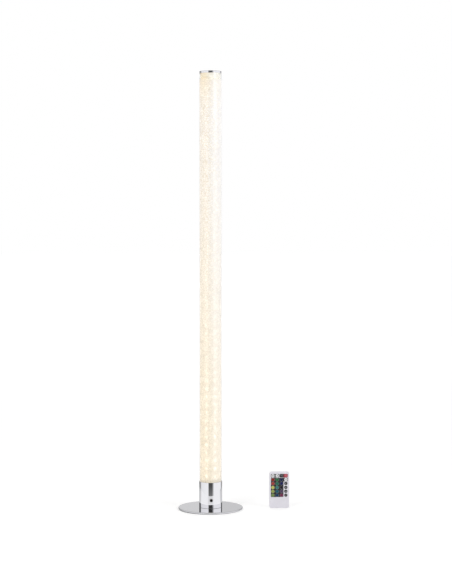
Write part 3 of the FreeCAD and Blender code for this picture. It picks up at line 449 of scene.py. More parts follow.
def studio_panels(tree):
    """What polished metal sees each way: the bands, the room in front, the rear, the ceiling, the ground."""
    way = tree_node(tree, "ShaderNodeTexCoord").outputs["Generated"]
    level_turn = {"Vector": way, "Rotation": (0.0, 0.0, -VIEW_TURN)}
    parts = axes(tree, tree_node(tree, "ShaderNodeMapping", level_turn).outputs[0])
    turn = turn_from_front(tree, parts)
    slope = parts["Z"]
    panels = studio_bands(tree, turn)
    front = times(tree, span(tree, turn, *FRONT_LEFT), span(tree, turn, *FRONT_RIGHT, 1.0, 0.0))
    panels = blend(tree, front, panels, front_level(tree, slope))
    rear_left = span(tree, turn, REAR_LEFT, REAR_LEFT + REAR_EDGE, 1.0, 0.0)
    rear_right = span(tree, turn, REAR_RIGHT - REAR_EDGE, REAR_RIGHT)
    behind = maths(tree, "ADD", rear_left, rear_right)
    below = span(tree, slope, REAR_GREY_TOP - SLOPE_EDGE, REAR_GREY_TOP, 1.0, 0.0)
    panels = blend(tree, times(tree, behind, below), panels, grey(REAR_GREY))
    over_foot = span(tree, slope, REAR_SHEET[0] - SLOPE_EDGE, REAR_SHEET[0])
    under_cap = span(tree, slope, REAR_SHEET[1], REAR_SHEET[1] + SLOPE_EDGE, 1.0, 0.0)
    sheet = times(tree, behind, times(tree, over_foot, under_cap))
    panels = blend(tree, sheet, panels, grey(REAR_SHEET_LEVEL))
    panels = blend(tree, span(tree, slope, *CEILING_SLOPE), panels, grey(CEILING_LEVEL))
    return blend(tree, span(tree, slope, *GROUND_SLOPE, 1.0, 0.0), panels, grey(GROUND_LEVEL))


def background(tree, colour, level):
    return tree_node(tree, "ShaderNodeBackground", {"Color": colour, "Strength": level}).outputs[0]


def studio_world():
    """White to the eye, soft grey light on the object, bright and dark panels in reflections."""
    world = bpy.data.worlds.new("studio")
    bpy.context.scene.world = world
    world.use_nodes = True
    tree = world.node_tree
    tree.nodes.clear()
    light = background(tree, grey(1.0), WORLD_LEVEL)
    mirror = background(tree, studio_panels(tree), 1.0)
    white = background(tree, grey(1.0), 1.0)
    by_mirror = {0: light_path(tree)["Is Glossy Ray"], 1: light, 2: mirror}
    unseen = tree_node(tree, "ShaderNodeMixShader", by_mirror).outputs[0]
    by_eye = {0: seen_by_eye(tree), 1: unseen, 2: white}
    whole = tree_node(tree, "ShaderNodeMixShader", by_eye).outputs[0]
    tree_node(tree, "ShaderNodeOutputWorld", {"Surface": whole})


def softboxes():
    """Area lamps round the object that neither the eye nor the polished metal sees."""
    for name, place, side, power in LAMPS:
        data = bpy.data.lights.new(name, "AREA")
        data.size = side
        data.energy = power
        made = add_object(name, data)
        made.location = place
        aim = Vector((0.0, 0.0, LAMP_HEIGHT / 2)) - made.location
        made.rotation_euler = aim.to_track_quat("-Z", "Y").to_euler()
        made.visible_glossy = False
        made.visible_camera = False


def floor():
    """Pale floor: white to the eye where nothing shades it, and darker in the object's shadow."""
    material, tree, place = surface("pale_floor")
    lift = span(tree, length(tree, place), 0.0, FLOOR_LIFT_REACH, *FLOOR_LIFT)
    finish(material, {
        "Base Color": grey(FLOOR_COLOUR),
        "Roughness": FLOOR_ROUGHNESS,
        "Specular IOR Level": 0.0,
        "Emission Color": grey(1.0),
        "Emission Strength": times(tree, seen_by_eye(tree), lift),
    })
    half = FLOOR_SIZE / 2
    corners = [(-half, -half, 0.0), (half, -half, 0.0), (half, half, 0.0), (-half, half, 0.0)]
    mesh = bpy.data.meshes.new("floor")
    mesh.from_pydata(corners, [], [(0, 1, 2, 3)])
    mesh.materials.append(material)
    made = add_object("floor", mesh)
    made.visible_glossy = False


def card_finish():
    """The table top's painted light: painted shade round the plate and behind the lamp, a little in front.
    """
    material, tree, place = surface("table_card")
    away = length(tree, place)
    parts = axes(tree, place)
    # Painted shade round the plate, deeper on the left than in the middle
    shade_at_plate = span(tree, parts["X"], *CARD_SHADE_PLACE, *CARD_SHADE)
    shade = span(tree, away, PLATE_RADIUS, PLATE_RADIUS + CARD_SHADE_WIDTH, shade_at_plate, CARD_LEVEL)
    # Painted shade on the card behind the lamp, and a slighter painted shade in front
    turn = maths(tree, "ABSOLUTE", turn_from_front(tree, parts))
    behind = span(tree, turn, *CARD_REAR_TURN)
    fade = span(tree, away, *CARD_REAR_FADE, *(level - 1.0 for level in CARD_REAR_SHADE))
    rear = maths(tree, "ADD", times(tree, behind, fade), 1.0)
    ahead = span(tree, turn, *CARD_FRONT_TURN, 1.0, 0.0)
    dimmer = span(tree, away, *CARD_FRONT_FADE, 0.0, CARD_FRONT_SHADE - 1.0)
    front = maths(tree, "ADD", times(tree, ahead, dimmer), 1.0)
    level = times(tree, shade, times(tree, rear, front))
    # The card glows with this painted light and shade instead of being lit
    glow(material, grey(1.0), level)
    return finish(material, {"Base Color": grey(0.0), "Specular IOR Level": 0.0})


def table_card():
    """White round table top under the lamp that only polished metal sees, glowing with painted light; a dark
    room lies beyond it.
    """
    mesh = bpy.data.meshes.new("table_card")
    work = bmesh.new()
    middle = Matrix.Translation((0.0, (CARD_REAR - CARD_FRONT) / 2, 0.0))
    reach = (CARD_REAR + CARD_FRONT) / 2
    bmesh.ops.create_circle(work, cap_ends=True, radius=reach, segments=CARD_STEPS, matrix=middle)
    work.to_mesh(mesh)
    work.free()
    mesh.materials.append(card_finish())
    made = add_object("table_card", mesh)
    made.location.z = -CARD_DROP
    made.rotation_euler.z = VIEW_TURN
    for ray in ("camera", "diffuse", "transmission", "shadow"):
        setattr(made, "visible_" + ray, False)


def piece(name, mesh, materials, body, slot, *replaced, stand=None):
    """Places a finished mesh on its body, with its finishes and the solids it stands for.

    A mesh drawn flat is stood up to face the front, at the place given by stand.
    """
    for material in materials:
        mesh.materials.append(material)
    made = add_object(name, mesh)
    if stand:
        made.location = stand
        made.rotation_euler.x = math.radians(90)
        made.visible_glossy = False
    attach(made, body)
    if replaced:
        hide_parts(*replaced)


def clear_acrylic():
    """Clear extruded acrylic with faint draw lines along its length."""
    material, tree, place = surface("clear_acrylic")
    stretched = tree_node(tree, "ShaderNodeMapping", {"Vector": place, "Scale": DRAW_LINE_STRETCH})
    lines = grain(tree, stretched.outputs[0], DRAW_LINE)
    return finish(material, {
        "Base Color": (0.98, 0.985, 0.98),
        "Transmission Weight": 1.0,
        "IOR": ACRYLIC_IOR,
        "Roughness": span(tree, lines, *HAZE_LEVELS, 0.0, 0.03),
        "Normal": bump(tree, lines, GRAIN_DEPTH, DRAW_LINE_BUMP),
    })


def facet_grid(rng, radius, relief, heights, sweep, grid, broken_rows, closed):
    """Points and triangles of a cylinder wall broken into small tilted facets; relief stands inward.

    heights are the wall's lower and upper ends, sweep its first angle and its arc, and grid its columns
    and rows. It is plain above its broken rows. A closed wall joins its last column to its first.
    """
    low, high = heights
    start, arc = sweep
    columns, rows = grid
    width = columns if closed else columns + 1
    points = []
    for row in range(rows + 1):
        for column in range(width):
            inside_row = 0 < row < broken_rows
            inside_column = closed or 0 < column < columns
            across = rng.uniform(-FACET_JITTER, FACET_JITTER) if inside_row and inside_column else 0.0
            up = rng.uniform(-FACET_JITTER, FACET_JITTER) if inside_row else 0.0
            depth = rng.uniform(0.0, relief) if inside_row else 0.0
            angle = start + arc * (column + across) / columns
            level = low + (high - low) * (row + up) / rows
            points.append(on_circle(radius - depth, angle, level))
    faces = []
    for row in range(rows):
        for column in range(columns):
            a = row * width + column
            b = row * width + (column + 1) % width
            c, d = b + width, a + width
            faces += ((a, b, c), (a, c, d)) if rng.random() < 0.5 else ((a, b, d), (b, c, d))
    return points, faces


def facet_shades(mesh, rng):
    """A random tone for each facet, for the material to read."""
    shade = mesh.attributes.new("facet", "FLOAT", "FACE")
    for value in shade.data:
        value.value = rng.random()


def facet_tone(tree):
    return tree_node(tree, "ShaderNodeAttribute", attribute_name="facet").outputs["Fac"]


def close_tube(points, faces, columns, rows):
    """Adds the smooth outside and the two rims to the points and faces of the tube's bore."""
    outer = TUBE_HIGH.x
    low, high = TUBE_LOW.z, TUBE_HIGH.z
    steps = columns * OUTSIDE_STEPS
    ring = len(points)
    levels = (low, low + TUBE_RIM_BEVEL, high - TUBE_RIM_BEVEL, high)
    radii = (outer - TUBE_RIM_BEVEL, outer, outer, outer - TUBE_RIM_BEVEL)
    for radius, level in zip(radii, levels):
        points += [on_circle(radius, 2.0 * math.pi * step / steps, level) for step in range(steps)]
    for band in range(len(levels) - 1):
        for step in range(steps):
            a = ring + band * steps + step
            b = ring + band * steps + (step + 1) % steps
            faces.append((a, b, b + steps, a + steps))
    top = rows * columns
    upper = ring + (len(levels) - 1) * steps
    for column in range(columns):
        arc = [column * OUTSIDE_STEPS + i for i in range(OUTSIDE_STEPS + 1)]
        beyond = (column + 1) % columns
        faces.append((column, beyond, *[ring + i % steps for i in reversed(arc)]))
        faces.append((top + beyond, top + column, *[upper + i % steps for i in arc]))


def clear_tube():
    """The acrylic tube: a smooth outside, and a bore broken up by the crackle film that clings to it."""
    rng = random.Random(BORE_SEED)
    bore = TUBE_HIGH.x - TUBE_WALL + BORE_RELIEF
    low, high = TUBE_LOW.z, TUBE_HIGH.z
    columns = round(2.0 * math.pi * bore / FACET)
    rows = round((high - low) / FACET)
    film_rows = round((FILM_HIGH.z - low) / (high - low) * rows)
    sweep = (0.0, 2.0 * math.pi)
    points, faces = facet_grid(
        rng, bore, BORE_RELIEF, (low, high), sweep, (columns, rows), film_rows, closed=True
    )
    faces = [tuple(reversed(face)) for face in faces]
    film_faces = film_rows * len(faces) // rows
    close_tube(points, faces, columns, rows)
    mesh = bpy.data.meshes.new("clear_tube")
    mesh.from_pydata(points, [], faces)
    facet_shades(mesh, rng)
    for face in mesh.polygons:
        crackled = face.index < film_faces
        face.material_index = 1 if crackled else 0
        face.use_smooth = not crackled
    mesh.set_sharp_from_angle(angle=SHARP_ANGLE)
    piece("clear_tube", mesh, (clear_acrylic(), bonded_film()), "lamp", "clear_acrylic", "outer_tube")


def glow_share(tree, place):
    """How bright a point of the mast is: most at an LED package, least between two; less higher up."""
    parts = axes(tree, place)
    along = maths(tree, "SUBTRACT", parts["Z"], LED_FIRST - LED_PITCH / 2)
    phase = maths(tree, "FRACT", maths(tree, "DIVIDE", along, LED_PITCH))
    off = times(tree, maths(tree, "ABSOLUTE", maths(tree, "SUBTRACT", phase, 0.5)), LED_PITCH)
    sum_axis = maths(tree, "ABSOLUTE", maths(tree, "ADD", parts["X"], parts["Y"]))
    gap_axis = maths(tree, "ABSOLUTE", maths(tree, "SUBTRACT", parts["X"], parts["Y"]))
    side = maths(tree, "DIVIDE", maths(tree, "MINIMUM", sum_axis, gap_axis), math.sqrt(2.0))
    away = length(tree, tree_node(tree, "ShaderNodeCombineXYZ", {"X": off, "Y": side}).outputs[0])
    lower = span(tree, parts["Z"], FILM_LOW.z, FILM_HIGH.z, 1.0, LED_TOP_SHARE)
    return times(tree, span(tree, away, LED_CORE, LED_HALO, 1.0, 0.0), lower)


def crackle_cells(tree, place):
    """Each crackle cell's own tone, and how much of a line between cells a point is, from 0 to 1."""
    bend = {"Vector": place, "Scale": 1.0 / CRACKLE_WARP_SIZE}
    warp = tree_node(tree, "ShaderNodeTexNoise", bend).outputs["Color"]
    shift = vector_maths(tree, "SCALE", {0: warp, "Scale": CRACKLE_WARP})
    bent = vector_maths(tree, "ADD", {0: place, 1: shift})
    at_cells = {"Vector": bent, "Scale": 1.0 / CRACKLE_CELL}
    cell = tree_node(tree, "ShaderNodeTexVoronoi", at_cells).outputs["Color"]
    edge = tree_node(tree, "ShaderNodeTexVoronoi", at_cells, feature="DISTANCE_TO_EDGE").outputs["Distance"]
    tone = tree_node(tree, "ShaderNodeSeparateColor", {"Color": cell}).outputs[0]
    return tone, span(tree, edge, *CRACKLE_LINE_EDGES, 1.0, 0.0)


def film_cream(tree, parts):
    """The film's colour by height, with painted light from the right and painted shade under the cap."""
    rise = span(tree, parts["Z"], FILM_LOW.z, CREAM_HIGH_AT)
    under_cap = span(tree, parts["Z"], FILM_HIGH.z - CREAM_CAP_REACH, FILM_HIGH.z)
    # Painted shade under the cap, more on the left than on the right
    cap_shade = times(tree, under_cap, span(tree, parts["X"], *CREAM_SIDES, *CAP_PAINTED_SHADE))
    cream = blend(tree, maths(tree, "SUBTRACT", rise, cap_shade, clamp=True), LOW_CREAM, HIGH_CREAM)
    # Painted light from the right, which whitens that side
    return blend(tree, span(tree, parts["X"], *CREAM_SIDES), cream, RIGHT_PAINTED_LIGHT, "ADD")


def crackle_light(tree, place, strength):
    """The lit film's colour and strength: they change from cell to cell and along the crackle lines."""
    tone, line = crackle_cells(tree, place)
    parts = axes(tree, place)
    # Towards the right the crackle lines weaken and the glow drops a little, with the painted light from the
    # right
    line = times(tree, line, span(tree, parts["X"], *CREAM_SIDES, *CRACKLE_LINE_SIDES))
    white_share = times(tree, tone, WHITE_CELLS)
    colour = blend(tree, white_share, film_cream(tree, parts), WARM_WHITE)
    colour = blend(tree, line, colour, CRACKLE_LINE)
    foot = span(tree, parts["Z"], FILM_LOW.z, FILM_LOW.z + FOOT_REACH, FOOT_LEVEL, 1.0)
    level = span(tree, tone, 0.0, 1.0, *(share * strength for share in CELL_LEVELS))
    level = times(tree, level, span(tree, line, 0.0, 1.0, 1.0, CRACKLE_LINE_LEVEL))
    level = times(tree, level, span(tree, parts["X"], *CREAM_SIDES, 1.0, RIGHT_LEVEL))
    return colour, times(tree, level, foot)


def bonded_film():
    """The bore of the tube, where the film clings to it: lit cream crackle, partly see-through."""
    material, tree, place = surface("bonded_film")
    colour, level = crackle_light(tree, place, BOND_GLOW)
    by_facet = span(tree, facet_tone(tree), 0.0, 1.0, *BOND_FACETS)
    glow(material, colour, times(tree, level, by_facet))
    return finish(material, {
        "Base Color": (0.45, 0.44, 0.40),
        "Roughness": 0.05,
        "IOR": ACRYLIC_IOR,
        "Transmission Weight": BOND_CLEARNESS,
    })


def crackle_film():
    """Embossed diffuser film, lit from inside: cream facets, mostly see-through."""
    material, tree, place = surface("crackle_film")
    glow(material, *crackle_light(tree, place, SLEEVE_GLOW))
    return finish(material, {
        "Base Color": (0.50, 0.48, 0.42),
        "Roughness": 0.35,
        "Alpha": span(tree, facet_tone(tree), 0.0, 1.0, *SLEEVE_COVER),
    })


def crackle_sleeve():
    """The rolled film as a closed sheet with a seam at the back: its outer side is faceted."""
    rng = random.Random(CRACKLE_SEED)
    outer = FILM_HIGH.x - SLEEVE_CLEARANCE
    inner = outer - FACET_RELIEF - SLEEVE_THICKNESS
    seam = SEAM_WIDTH / outer
    arc = 2.0 * math.pi - seam
    columns = round(arc * outer / FACET)
    rows = round((FILM_HIGH.z - FILM_LOW.z) / FACET)
    width = columns + 1
    heights = (FILM_LOW.z, FILM_HIGH.z)
    sweep = (math.pi / 2 + seam / 2, arc)
    points, faces = facet_grid(
        rng, outer, FACET_RELIEF, heights, sweep, (columns, rows), rows, closed=False
    )
    shell = len(points)
    for x, y, z in points[:]:
        scale = inner / math.hypot(x, y)
        points.append((x * scale, y * scale, z))
    faces += [tuple(shell + i for i in reversed(face)) for face in faces]
    rim = [(row * width, (row + 1) * width) for row in range(rows)]
    rim += [((row + 1) * width + columns, row * width + columns) for row in range(rows)]
    rim += [(column + 1, column) for column in range(columns)]
    rim += [(rows * width + column, rows * width + column + 1) for column in range(columns)]
    faces += [(i, j, shell + j, shell + i) for i, j in rim]
    mesh = bpy.data.meshes.new("crackle_sleeve")
    mesh.from_pydata(points, [], faces)
    facet_shades(mesh, rng)
    piece("crackle_sleeve", mesh, (crackle_film(),), "lamp", "crackle_film", "crackle_film")


def polished_chrome():
    """Mirror plating with the faintest wipe marks."""
    material, tree, place = surface("polished_chrome")
    wipes = grain(tree, place, WIPE_MARK)
    return finish(material, {
        "Base Color": (0.800, 0.799, 0.832),
        "Metallic": 1.0,
        "Roughness": span(tree, wipes, *WIPE_LEVELS, 0.025, 0.07),
    })


def satin_metal():
    """Satin metal with a fine grain in its gloss and its relief."""
    material, tree, place = surface("satin_metal")
    fine = grain(tree, place, METAL_GRAIN)
    return finish(material, {
        "Base Color": (0.70, 0.70, 0.71),
        "Metallic": 1.0,
        "Roughness": span(tree, fine, *GRAIN_LEVELS, 0.30, 0.42),
        "Normal": bump(tree, fine, GRAIN_DEPTH),
    })


def moulded(name, dark, light, roughness, metallic=0.0):
    """Moulded or plated stock: two close tones, fine grain in the gloss and in the relief."""
    material, tree, place = surface(name)
    broad = grain(tree, place, BROAD_GRAIN)
    fine = fine_grain(tree, place)
    return finish(material, {
        "Base Color": blend(tree, broad, dark, light),
        "Metallic": metallic,
        "Roughness": span(tree, fine, *GRAIN_LEVELS, roughness - GLOSS_SPREAD, roughness + GLOSS_SPREAD),
        "Normal": bump(tree, fine, GRAIN_DEPTH),
    })


def lit_moulding():
    """White moulding at the ends of the column, with a painted glow: painted shade warm on the left, painted
    light white on the right.
    """
    material = moulded("white_moulding", (0.70, 0.66, 0.56), (0.78, 0.74, 0.64), 0.45)
    tree = material.node_tree
    # Painted side light: warm painted shade on the left, white painted light from the middle on
    side = span(tree, axes(tree, object_place(tree))["X"], *PLUG_SIDES)
    return glow(material, blend(tree, side, PLUG_SHADED_LEFT, PLUG_LIT_RIGHT), PLUG_GLOW)


def glowing_stock(name, colour, metallic, between, peak):
    """Stock that carries the LEDs: bright around each package and dimmer between."""
    material, tree, place = surface(name)
    share = glow_share(tree, place)
    fine = grain(tree, place, STOCK_GRAIN)
    glow(material, blend(tree, share, WARM_LIGHT, WARM_WHITE), span(tree, share, 0.0, 1.0, between, peak))
    return finish(material, {
        "Base Color": blend(tree, fine, colour, grey(max(colour))),
        "Metallic": metallic,
        "Roughness": span(tree, fine, *GRAIN_LEVELS, 0.32, 0.48),
    })


def mast_aluminium():
    """The mast's aluminium, in the light of the packages."""
    return glowing_stock("mast_aluminium", (0.72, 0.72, 0.70), metallic=0.6, between=0.55, peak=0.95)


def strip_white():
    """The white circuit strips, in the light of the packages."""
    return glowing_stock("strip_white", (0.85, 0.84, 0.80), metallic=0.0, between=0.55, peak=1.40)


def led_package():
    """White package with a lit phosphor."""
    material, tree, place = surface("led_package")
    fine = grain(tree, place, PACKAGE_GRAIN, SOFT_DETAIL)
    glow(material, WARM_WHITE, span(tree, glow_share(tree, place), 0.0, 1.0, *LED_LEVEL))
    return finish(material, {
        "Base Color": blend(tree, fine, (0.80, 0.78, 0.70), (0.88, 0.86, 0.80)),
        "Roughness": 0.4,
    })


def smoked_lens():
    """Dark smoked plastic with a little haze in its gloss."""
    material, tree, place = surface("smoked_lens")
    haze = grain(tree, place, LENS_HAZE, SOFT_DETAIL)
    return finish(material, {
        "Base Color": blend(tree, haze, (0.006, 0.005, 0.006), (0.02, 0.014, 0.016)),
        "Roughness": span(tree, haze, *HAZE_LEVELS, 0.06, 0.14),
        "Specular IOR Level": 0.2,
    })


def foam_rubber():
    """Black foam rubber with fine cells."""
    material, tree, place = surface("foam_rubber")
    at_cells = {"Vector": place, "Scale": 1.0 / FOAM_CELL}
    cells = tree_node(tree, "ShaderNodeTexVoronoi", at_cells).outputs["Distance"]
    return finish(material, {
        "Base Color": blend(tree, cells, (0.012, 0.012, 0.013), (0.05, 0.05, 0.052)),
        "Roughness": 0.92,
        "Normal": bump(tree, cells, FOAM_CELL_DEPTH),
    })


def circuit_board():
    """Green board with a faint weave."""
    material, tree, place = surface("circuit_board")
    weave = grain(tree, place, BOARD_WEAVE, SOFT_DETAIL)
    return finish(material, {
        "Base Color": blend(tree, weave, (0.010, 0.10, 0.045), (0.02, 0.16, 0.07)),
        "Roughness": 0.38,
        "Normal": bump(tree, weave, BOARD_WEAVE_DEPTH),
    })


def remote_case():
    """Pale moulded case with a fine parting line where its two halves meet."""
    material, tree, place = surface("remote_case")
    fine = fine_grain(tree, place)
    tone = blend(tree, grain(tree, place, BROAD_GRAIN), (0.82, 0.80, 0.865), (0.88, 0.86, 0.925))
    off = maths(tree, "ABSOLUTE", maths(tree, "SUBTRACT", axes(tree, place)["Y"], PARTING_DEPTH))
    line = span(tree, off, 0.0, PARTING_WIDTH, PARTING_SHARE, 0.0)
    return finish(material, {
        "Base Color": blend(tree, line, tone, grey(PARTING_GREY)),
        "Roughness": span(tree, fine, *GRAIN_LEVELS, 0.34, 0.46),
        "Normal": bump(tree, fine, GRAIN_DEPTH),
    })


def key_middle(key):
    """The middle of a key's solid."""
    low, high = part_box(key)
    return (low + high) / 2


def panel_print():
    """Dark printed panels; the half behind the ON key is red."""
    material, tree, place = surface("panel_print")
    fine = fine_grain(tree, place)
    parts = axes(tree, place)
    right = maths(tree, "GREATER_THAN", parts["X"], (key_middle("key_off").x + key_middle("key_on").x) / 2)
    upper = maths(tree, "GREATER_THAN", parts["Z"], (key_middle("key_white").z + key_middle("key_on").z) / 2)
    dark = blend(tree, fine, (0.018, 0.018, 0.020), (0.035, 0.035, 0.038))
    return finish(material, {
        "Base Color": blend(tree, times(tree, right, upper), dark, ON_RED),
        "Roughness": span(tree, fine, *GRAIN_LEVELS, 0.38, 0.52),
        "Normal": bump(tree, fine, GRAIN_DEPTH),
    })


# Finishes by the record's slots. Plain stock: darker tone, lighter tone, roughness, and 1 for metal.
# The other slots have a function each.
STOCK = {
    "seal_silicone": ((0.30, 0.30, 0.31), (0.38, 0.38, 0.39), 0.50),
    "zinc_steel": ((0.50, 0.50, 0.47), (0.66, 0.66, 0.62), 0.34, 1.0),
    "black_moulding": ((0.012, 0.012, 0.013), (0.03, 0.03, 0.032), 0.42),
    "component_black": ((0.015, 0.015, 0.016), (0.035, 0.035, 0.036), 0.50),
    "grey_insulation": ((0.22, 0.22, 0.23), (0.28, 0.28, 0.29), 0.50),
    "black_insulation": ((0.012, 0.012, 0.012), (0.025, 0.025, 0.026), 0.50),
    "white_insulation": ((0.72, 0.72, 0.70), (0.82, 0.82, 0.80), 0.50),
    "membrane_rubber": ((0.30, 0.30, 0.31), (0.36, 0.36, 0.37), 0.70),
    "emitter_lens": ((0.03, 0.02, 0.05), (0.06, 0.04, 0.09), 0.12),
    "cell_steel": ((0.55, 0.55, 0.55), (0.68, 0.68, 0.68), 0.28, 1.0),
    "contact_metal": ((0.60, 0.52, 0.36), (0.72, 0.63, 0.45), 0.30, 1.0),
}
SPECIAL = {
    "polished_chrome": polished_chrome,
    "satin_metal": satin_metal,
    "foam_pad": foam_rubber,
    "white_moulding": lit_moulding,
    "smoked_lens": smoked_lens,
    "circuit_board": circuit_board,
    "mast_aluminium": mast_aluminium,
    "strip_white": strip_white,
    "led_package": led_package,
    "remote_case": remote_case,
    "panel_print": panel_print,
}


def dress_nodes():
    """Gives every solid that shows the finish of its slot in the record."""
    finishes = {}
    for part in frame["record"]["subparts"]:
        slot = part["material_slot"]
        if slot not in STOCK and slot not in SPECIAL:
            continue
        if slot not in finishes:
            finishes[slot] = SPECIAL[slot]() if slot in SPECIAL else moulded(slot, *STOCK[slot])
        data = frame["nodes"][part["node"]].data
        data.materials.clear()
        data.materials.append(finishes[slot])
    for node in REMOTE_NODES:
        frame["nodes"][node].visible_glossy = False


def key_rubber(slot, colour):
    """Soft key rubber in the key's own colour, with a painted highlight that lightens the rim round the
    dish, and a fine moulded grain.
    """
    material, tree, place = surface(slot)
    flat = vector_maths(tree, "MULTIPLY", {0: place, 1: (1.0, 1.0, 0.0)})
    # Painted highlight: the rim round the dish lightens towards the shoulder
    rim = span(tree, length(tree, flat), DISH_RADIUS, KEY_RADIUS - KEY_ROUND)
    rim_highlight_tone = [share + KEY_RIM_HIGHLIGHT * (1.0 - share) for share in colour]
    fine = fine_grain(tree, place, RUBBER_GRAIN)
    return finish(material, {
        "Base Color": blend(tree, rim, colour, rim_highlight_tone),
        "Specular IOR Level": 0.3,
        "Roughness": span(tree, fine, *GRAIN_LEVELS, 0.36, 0.48),
        "Normal": bump(tree, fine, GRAIN_DEPTH),
    })


def key_outline(lip_radius, height):
    """Half outline of a key, from the foot of its lip up to its dished top."""
    outline = [(lip_radius, 0.0), (lip_radius, KEY_LIP_THICKNESS), (KEY_RADIUS, KEY_LIP_THICKNESS)]
    shoulder = KEY_RADIUS - KEY_ROUND
    for step in range(KEY_ROUND_STEPS + 1):
        angle = math.radians(90) * step / KEY_ROUND_STEPS
        level = height - KEY_ROUND + KEY_ROUND * math.sin(angle)
        outline.append((shoulder + KEY_ROUND * math.cos(angle), level))
    for step in range(1, DISH_STEPS + 1):
        share = step / DISH_STEPS
        drop = DISH_DEPTH * (1.0 - math.cos(math.pi * share)) / 2.0
        outline.append((shoulder + (DISH_RADIUS - shoulder) * share, height - drop))
    return outline


def turned(name, outline, steps):
    """Turns an open outline of (radius, height) points about Z and closes both ends."""
    points = []
    for step in range(steps):
        angle = 2.0 * math.pi * step / steps
        points += [on_circle(radius, angle, height) for radius, height in outline]
    count = len(outline)
    faces = []
    for step in range(steps):
        here = step * count
        beyond = (step + 1) % steps * count
        faces += [(here + i, beyond + i, beyond + i + 1, here + i + 1) for i in range(count - 1)]
    faces.append([step * count for step in reversed(range(steps))])
    faces.append([step * count + count - 1 for step in range(steps)])
    mesh = bpy.data.meshes.new(name)
    mesh.from_pydata(points, [], faces)
    shade_smooth(mesh)
    return mesh


def shade_smooth(mesh):
    """Smooth shading, except across sharp edges."""
    work = bmesh.new()
    work.from_mesh(mesh)
    bmesh.ops.recalc_face_normals(work, faces=work.faces)
    for face in work.faces:
        face.smooth = True
    for edge in work.edges:
        edge.smooth = len(edge.link_faces) == 2 and edge.calc_face_angle() < SHARP_ANGLE
    work.to_mesh(mesh)
    work.free()


def disc(radius):
    """A round outline about the middle of a key."""
    turns = [2.0 * math.pi * side / SUN_SIDES for side in range(SUN_SIDES)]
    return [(radius * math.cos(turn), radius * math.sin(turn)) for turn in turns]


def sun(core, reach):
    """A brightness mark: a disc and the rays round it."""
    outlines = [disc(core)]
    for ray in range(SUN_RAYS):
        turn = 2.0 * math.pi * ray / SUN_RAYS
        along = Vector((math.cos(turn), math.sin(turn)))
        aside = Vector((-math.sin(turn), math.cos(turn))) * RAY_WIDTH / 2
        near = along * (core + RAY_GAP)
        far = along * reach
        outlines.append([near - aside, far - aside, far + aside, near + aside])
    return outlines


def bars():
    """Upright strokes side by side."""
    outlines = []
    for number, height in enumerate(BAR_HEIGHTS):
        middle = (number - (len(BAR_HEIGHTS) - 1) / 2) * BAR_PITCH
        left, right = middle - STROKE_WIDTH / 2, middle + STROKE_WIDTH / 2
        outlines.append([(left, -height / 2), (right, -height / 2), (right, height / 2), (left, height / 2)])
    return outlines


def wave():
    """A stroke that follows one full wave."""
    across = [WAVE_REACH * (2.0 * step / WAVE_STEPS - 1.0) for step in range(WAVE_STEPS + 1)]
    lower = [(x, WAVE_RISE * math.sin(math.pi * x / WAVE_REACH) - STROKE_WIDTH / 2) for x in across]
    upper = [(x, y + STROKE_WIDTH) for x, y in reversed(lower)]
    return [lower + upper]


# What is printed on the keys: plain words and letters, or outlines
WHITE_MARKS = {
    "key_on": "ON",
    "key_off": "OFF",
    "key_flash": [BOLT_LEFT + BOLT_RIGHT],
    "key_strobe": bars(),
    "key_fade": [WEDGE],
    "key_smooth": wave(),
}
DARK_MARKS = {
    "key_red": "R",
    "key_green": "G",
    "key_blue": "B",
    "key_white": "W",
    "key_brighter": sun(*LARGE_SUN),
    "key_dimmer": sun(*SMALL_SUN),
}


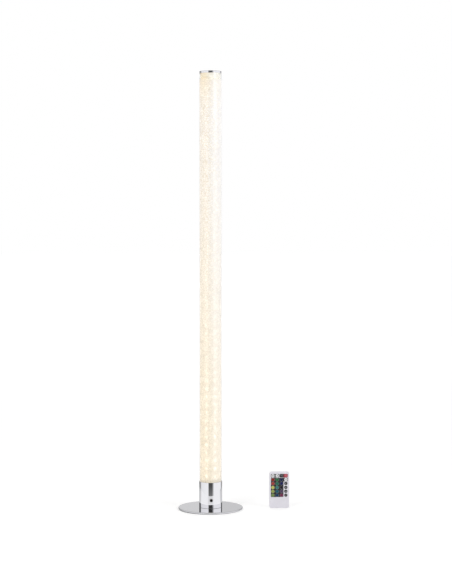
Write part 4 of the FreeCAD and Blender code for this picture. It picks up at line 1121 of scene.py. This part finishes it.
def lettered(name, word):
    """A word as a thin raised mesh about the origin."""
    data = bpy.data.curves.new(name, "FONT")
    data.body = word
    data.size = LETTER_SIZE if len(word) == 1 else WORD_SIZE
    data.extrude = MARK_THICKNESS / 2
    data.resolution_u = LETTER_STEPS
    holder = bpy.data.objects.new(name, data)
    mesh = bpy.data.meshes.new_from_object(holder)
    bpy.data.objects.remove(holder)
    bpy.data.curves.remove(data)
    mesh.name = name
    mesh.materials.clear()
    across = [vertex.co.x for vertex in mesh.vertices]
    along = [vertex.co.y for vertex in mesh.vertices]
    middle = Vector(((min(across) + max(across)) / 2, (min(along) + max(along)) / 2, -MARK_THICKNESS / 2))
    mesh.transform(Matrix.Translation(-middle))
    return mesh


def stamped(name, outlines):
    """Flat outlines as a thin raised mesh."""
    work = bmesh.new()
    for outline in outlines:
        low = [work.verts.new((x, y, 0.0)) for x, y in outline]
        high = [work.verts.new((x, y, MARK_THICKNESS)) for x, y in outline]
        work.faces.new(high)
        work.faces.new(list(reversed(low)))
        for i in range(len(outline)):
            j = (i + 1) % len(outline)
            work.faces.new((low[i], low[j], high[j], high[i]))
    mesh = bpy.data.meshes.new(name)
    bmesh.ops.recalc_face_normals(work, faces=work.faces)
    work.to_mesh(mesh)
    work.free()
    return mesh


def remote_keys():
    """The keys with their dished tops, and the marks printed in the dishes."""
    white = moulded("white_print", grey(0.72), grey(0.80), 0.5)
    dark = moulded("dark_print", (0.020, 0.020, 0.022), (0.035, 0.035, 0.038), 0.5)
    marks = {key: (drawing, white, "key_white") for key, drawing in WHITE_MARKS.items()}
    marks |= {key: (drawing, dark, "panel_print") for key, drawing in DARK_MARKS.items()}
    colours = {entry["slot"]: entry["base_color"][:3] for entry in frame["record"]["materials"]}
    for key in KEY_NODES:
        low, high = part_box(key)
        middle = key_middle(key)
        cap = turned(key + "_cap", key_outline((high.x - low.x) / 2, high.y - low.y), KEY_STEPS)
        foot = Vector((middle.x, high.y, middle.z))
        piece(key + "_cap", cap, (key_rubber(key, colours[key]),), key, key, key, stand=foot)
        if key in marks:
            drawing, ink, slot = marks[key]
            name = key.replace("key", "mark")
            mesh = lettered(name, drawing) if isinstance(drawing, str) else stamped(name, drawing)
            dish = Vector((middle.x, low.y + DISH_DEPTH + MARK_SINK, middle.z))
            piece(name, mesh, (ink,), key, slot, stand=dish)


bpy.context.scene.view_settings.view_transform = "Standard"
camera()
studio_world()
softboxes()
floor()
table_card()
dress_nodes()
clear_tube()
crackle_sleeve()
remote_keys()
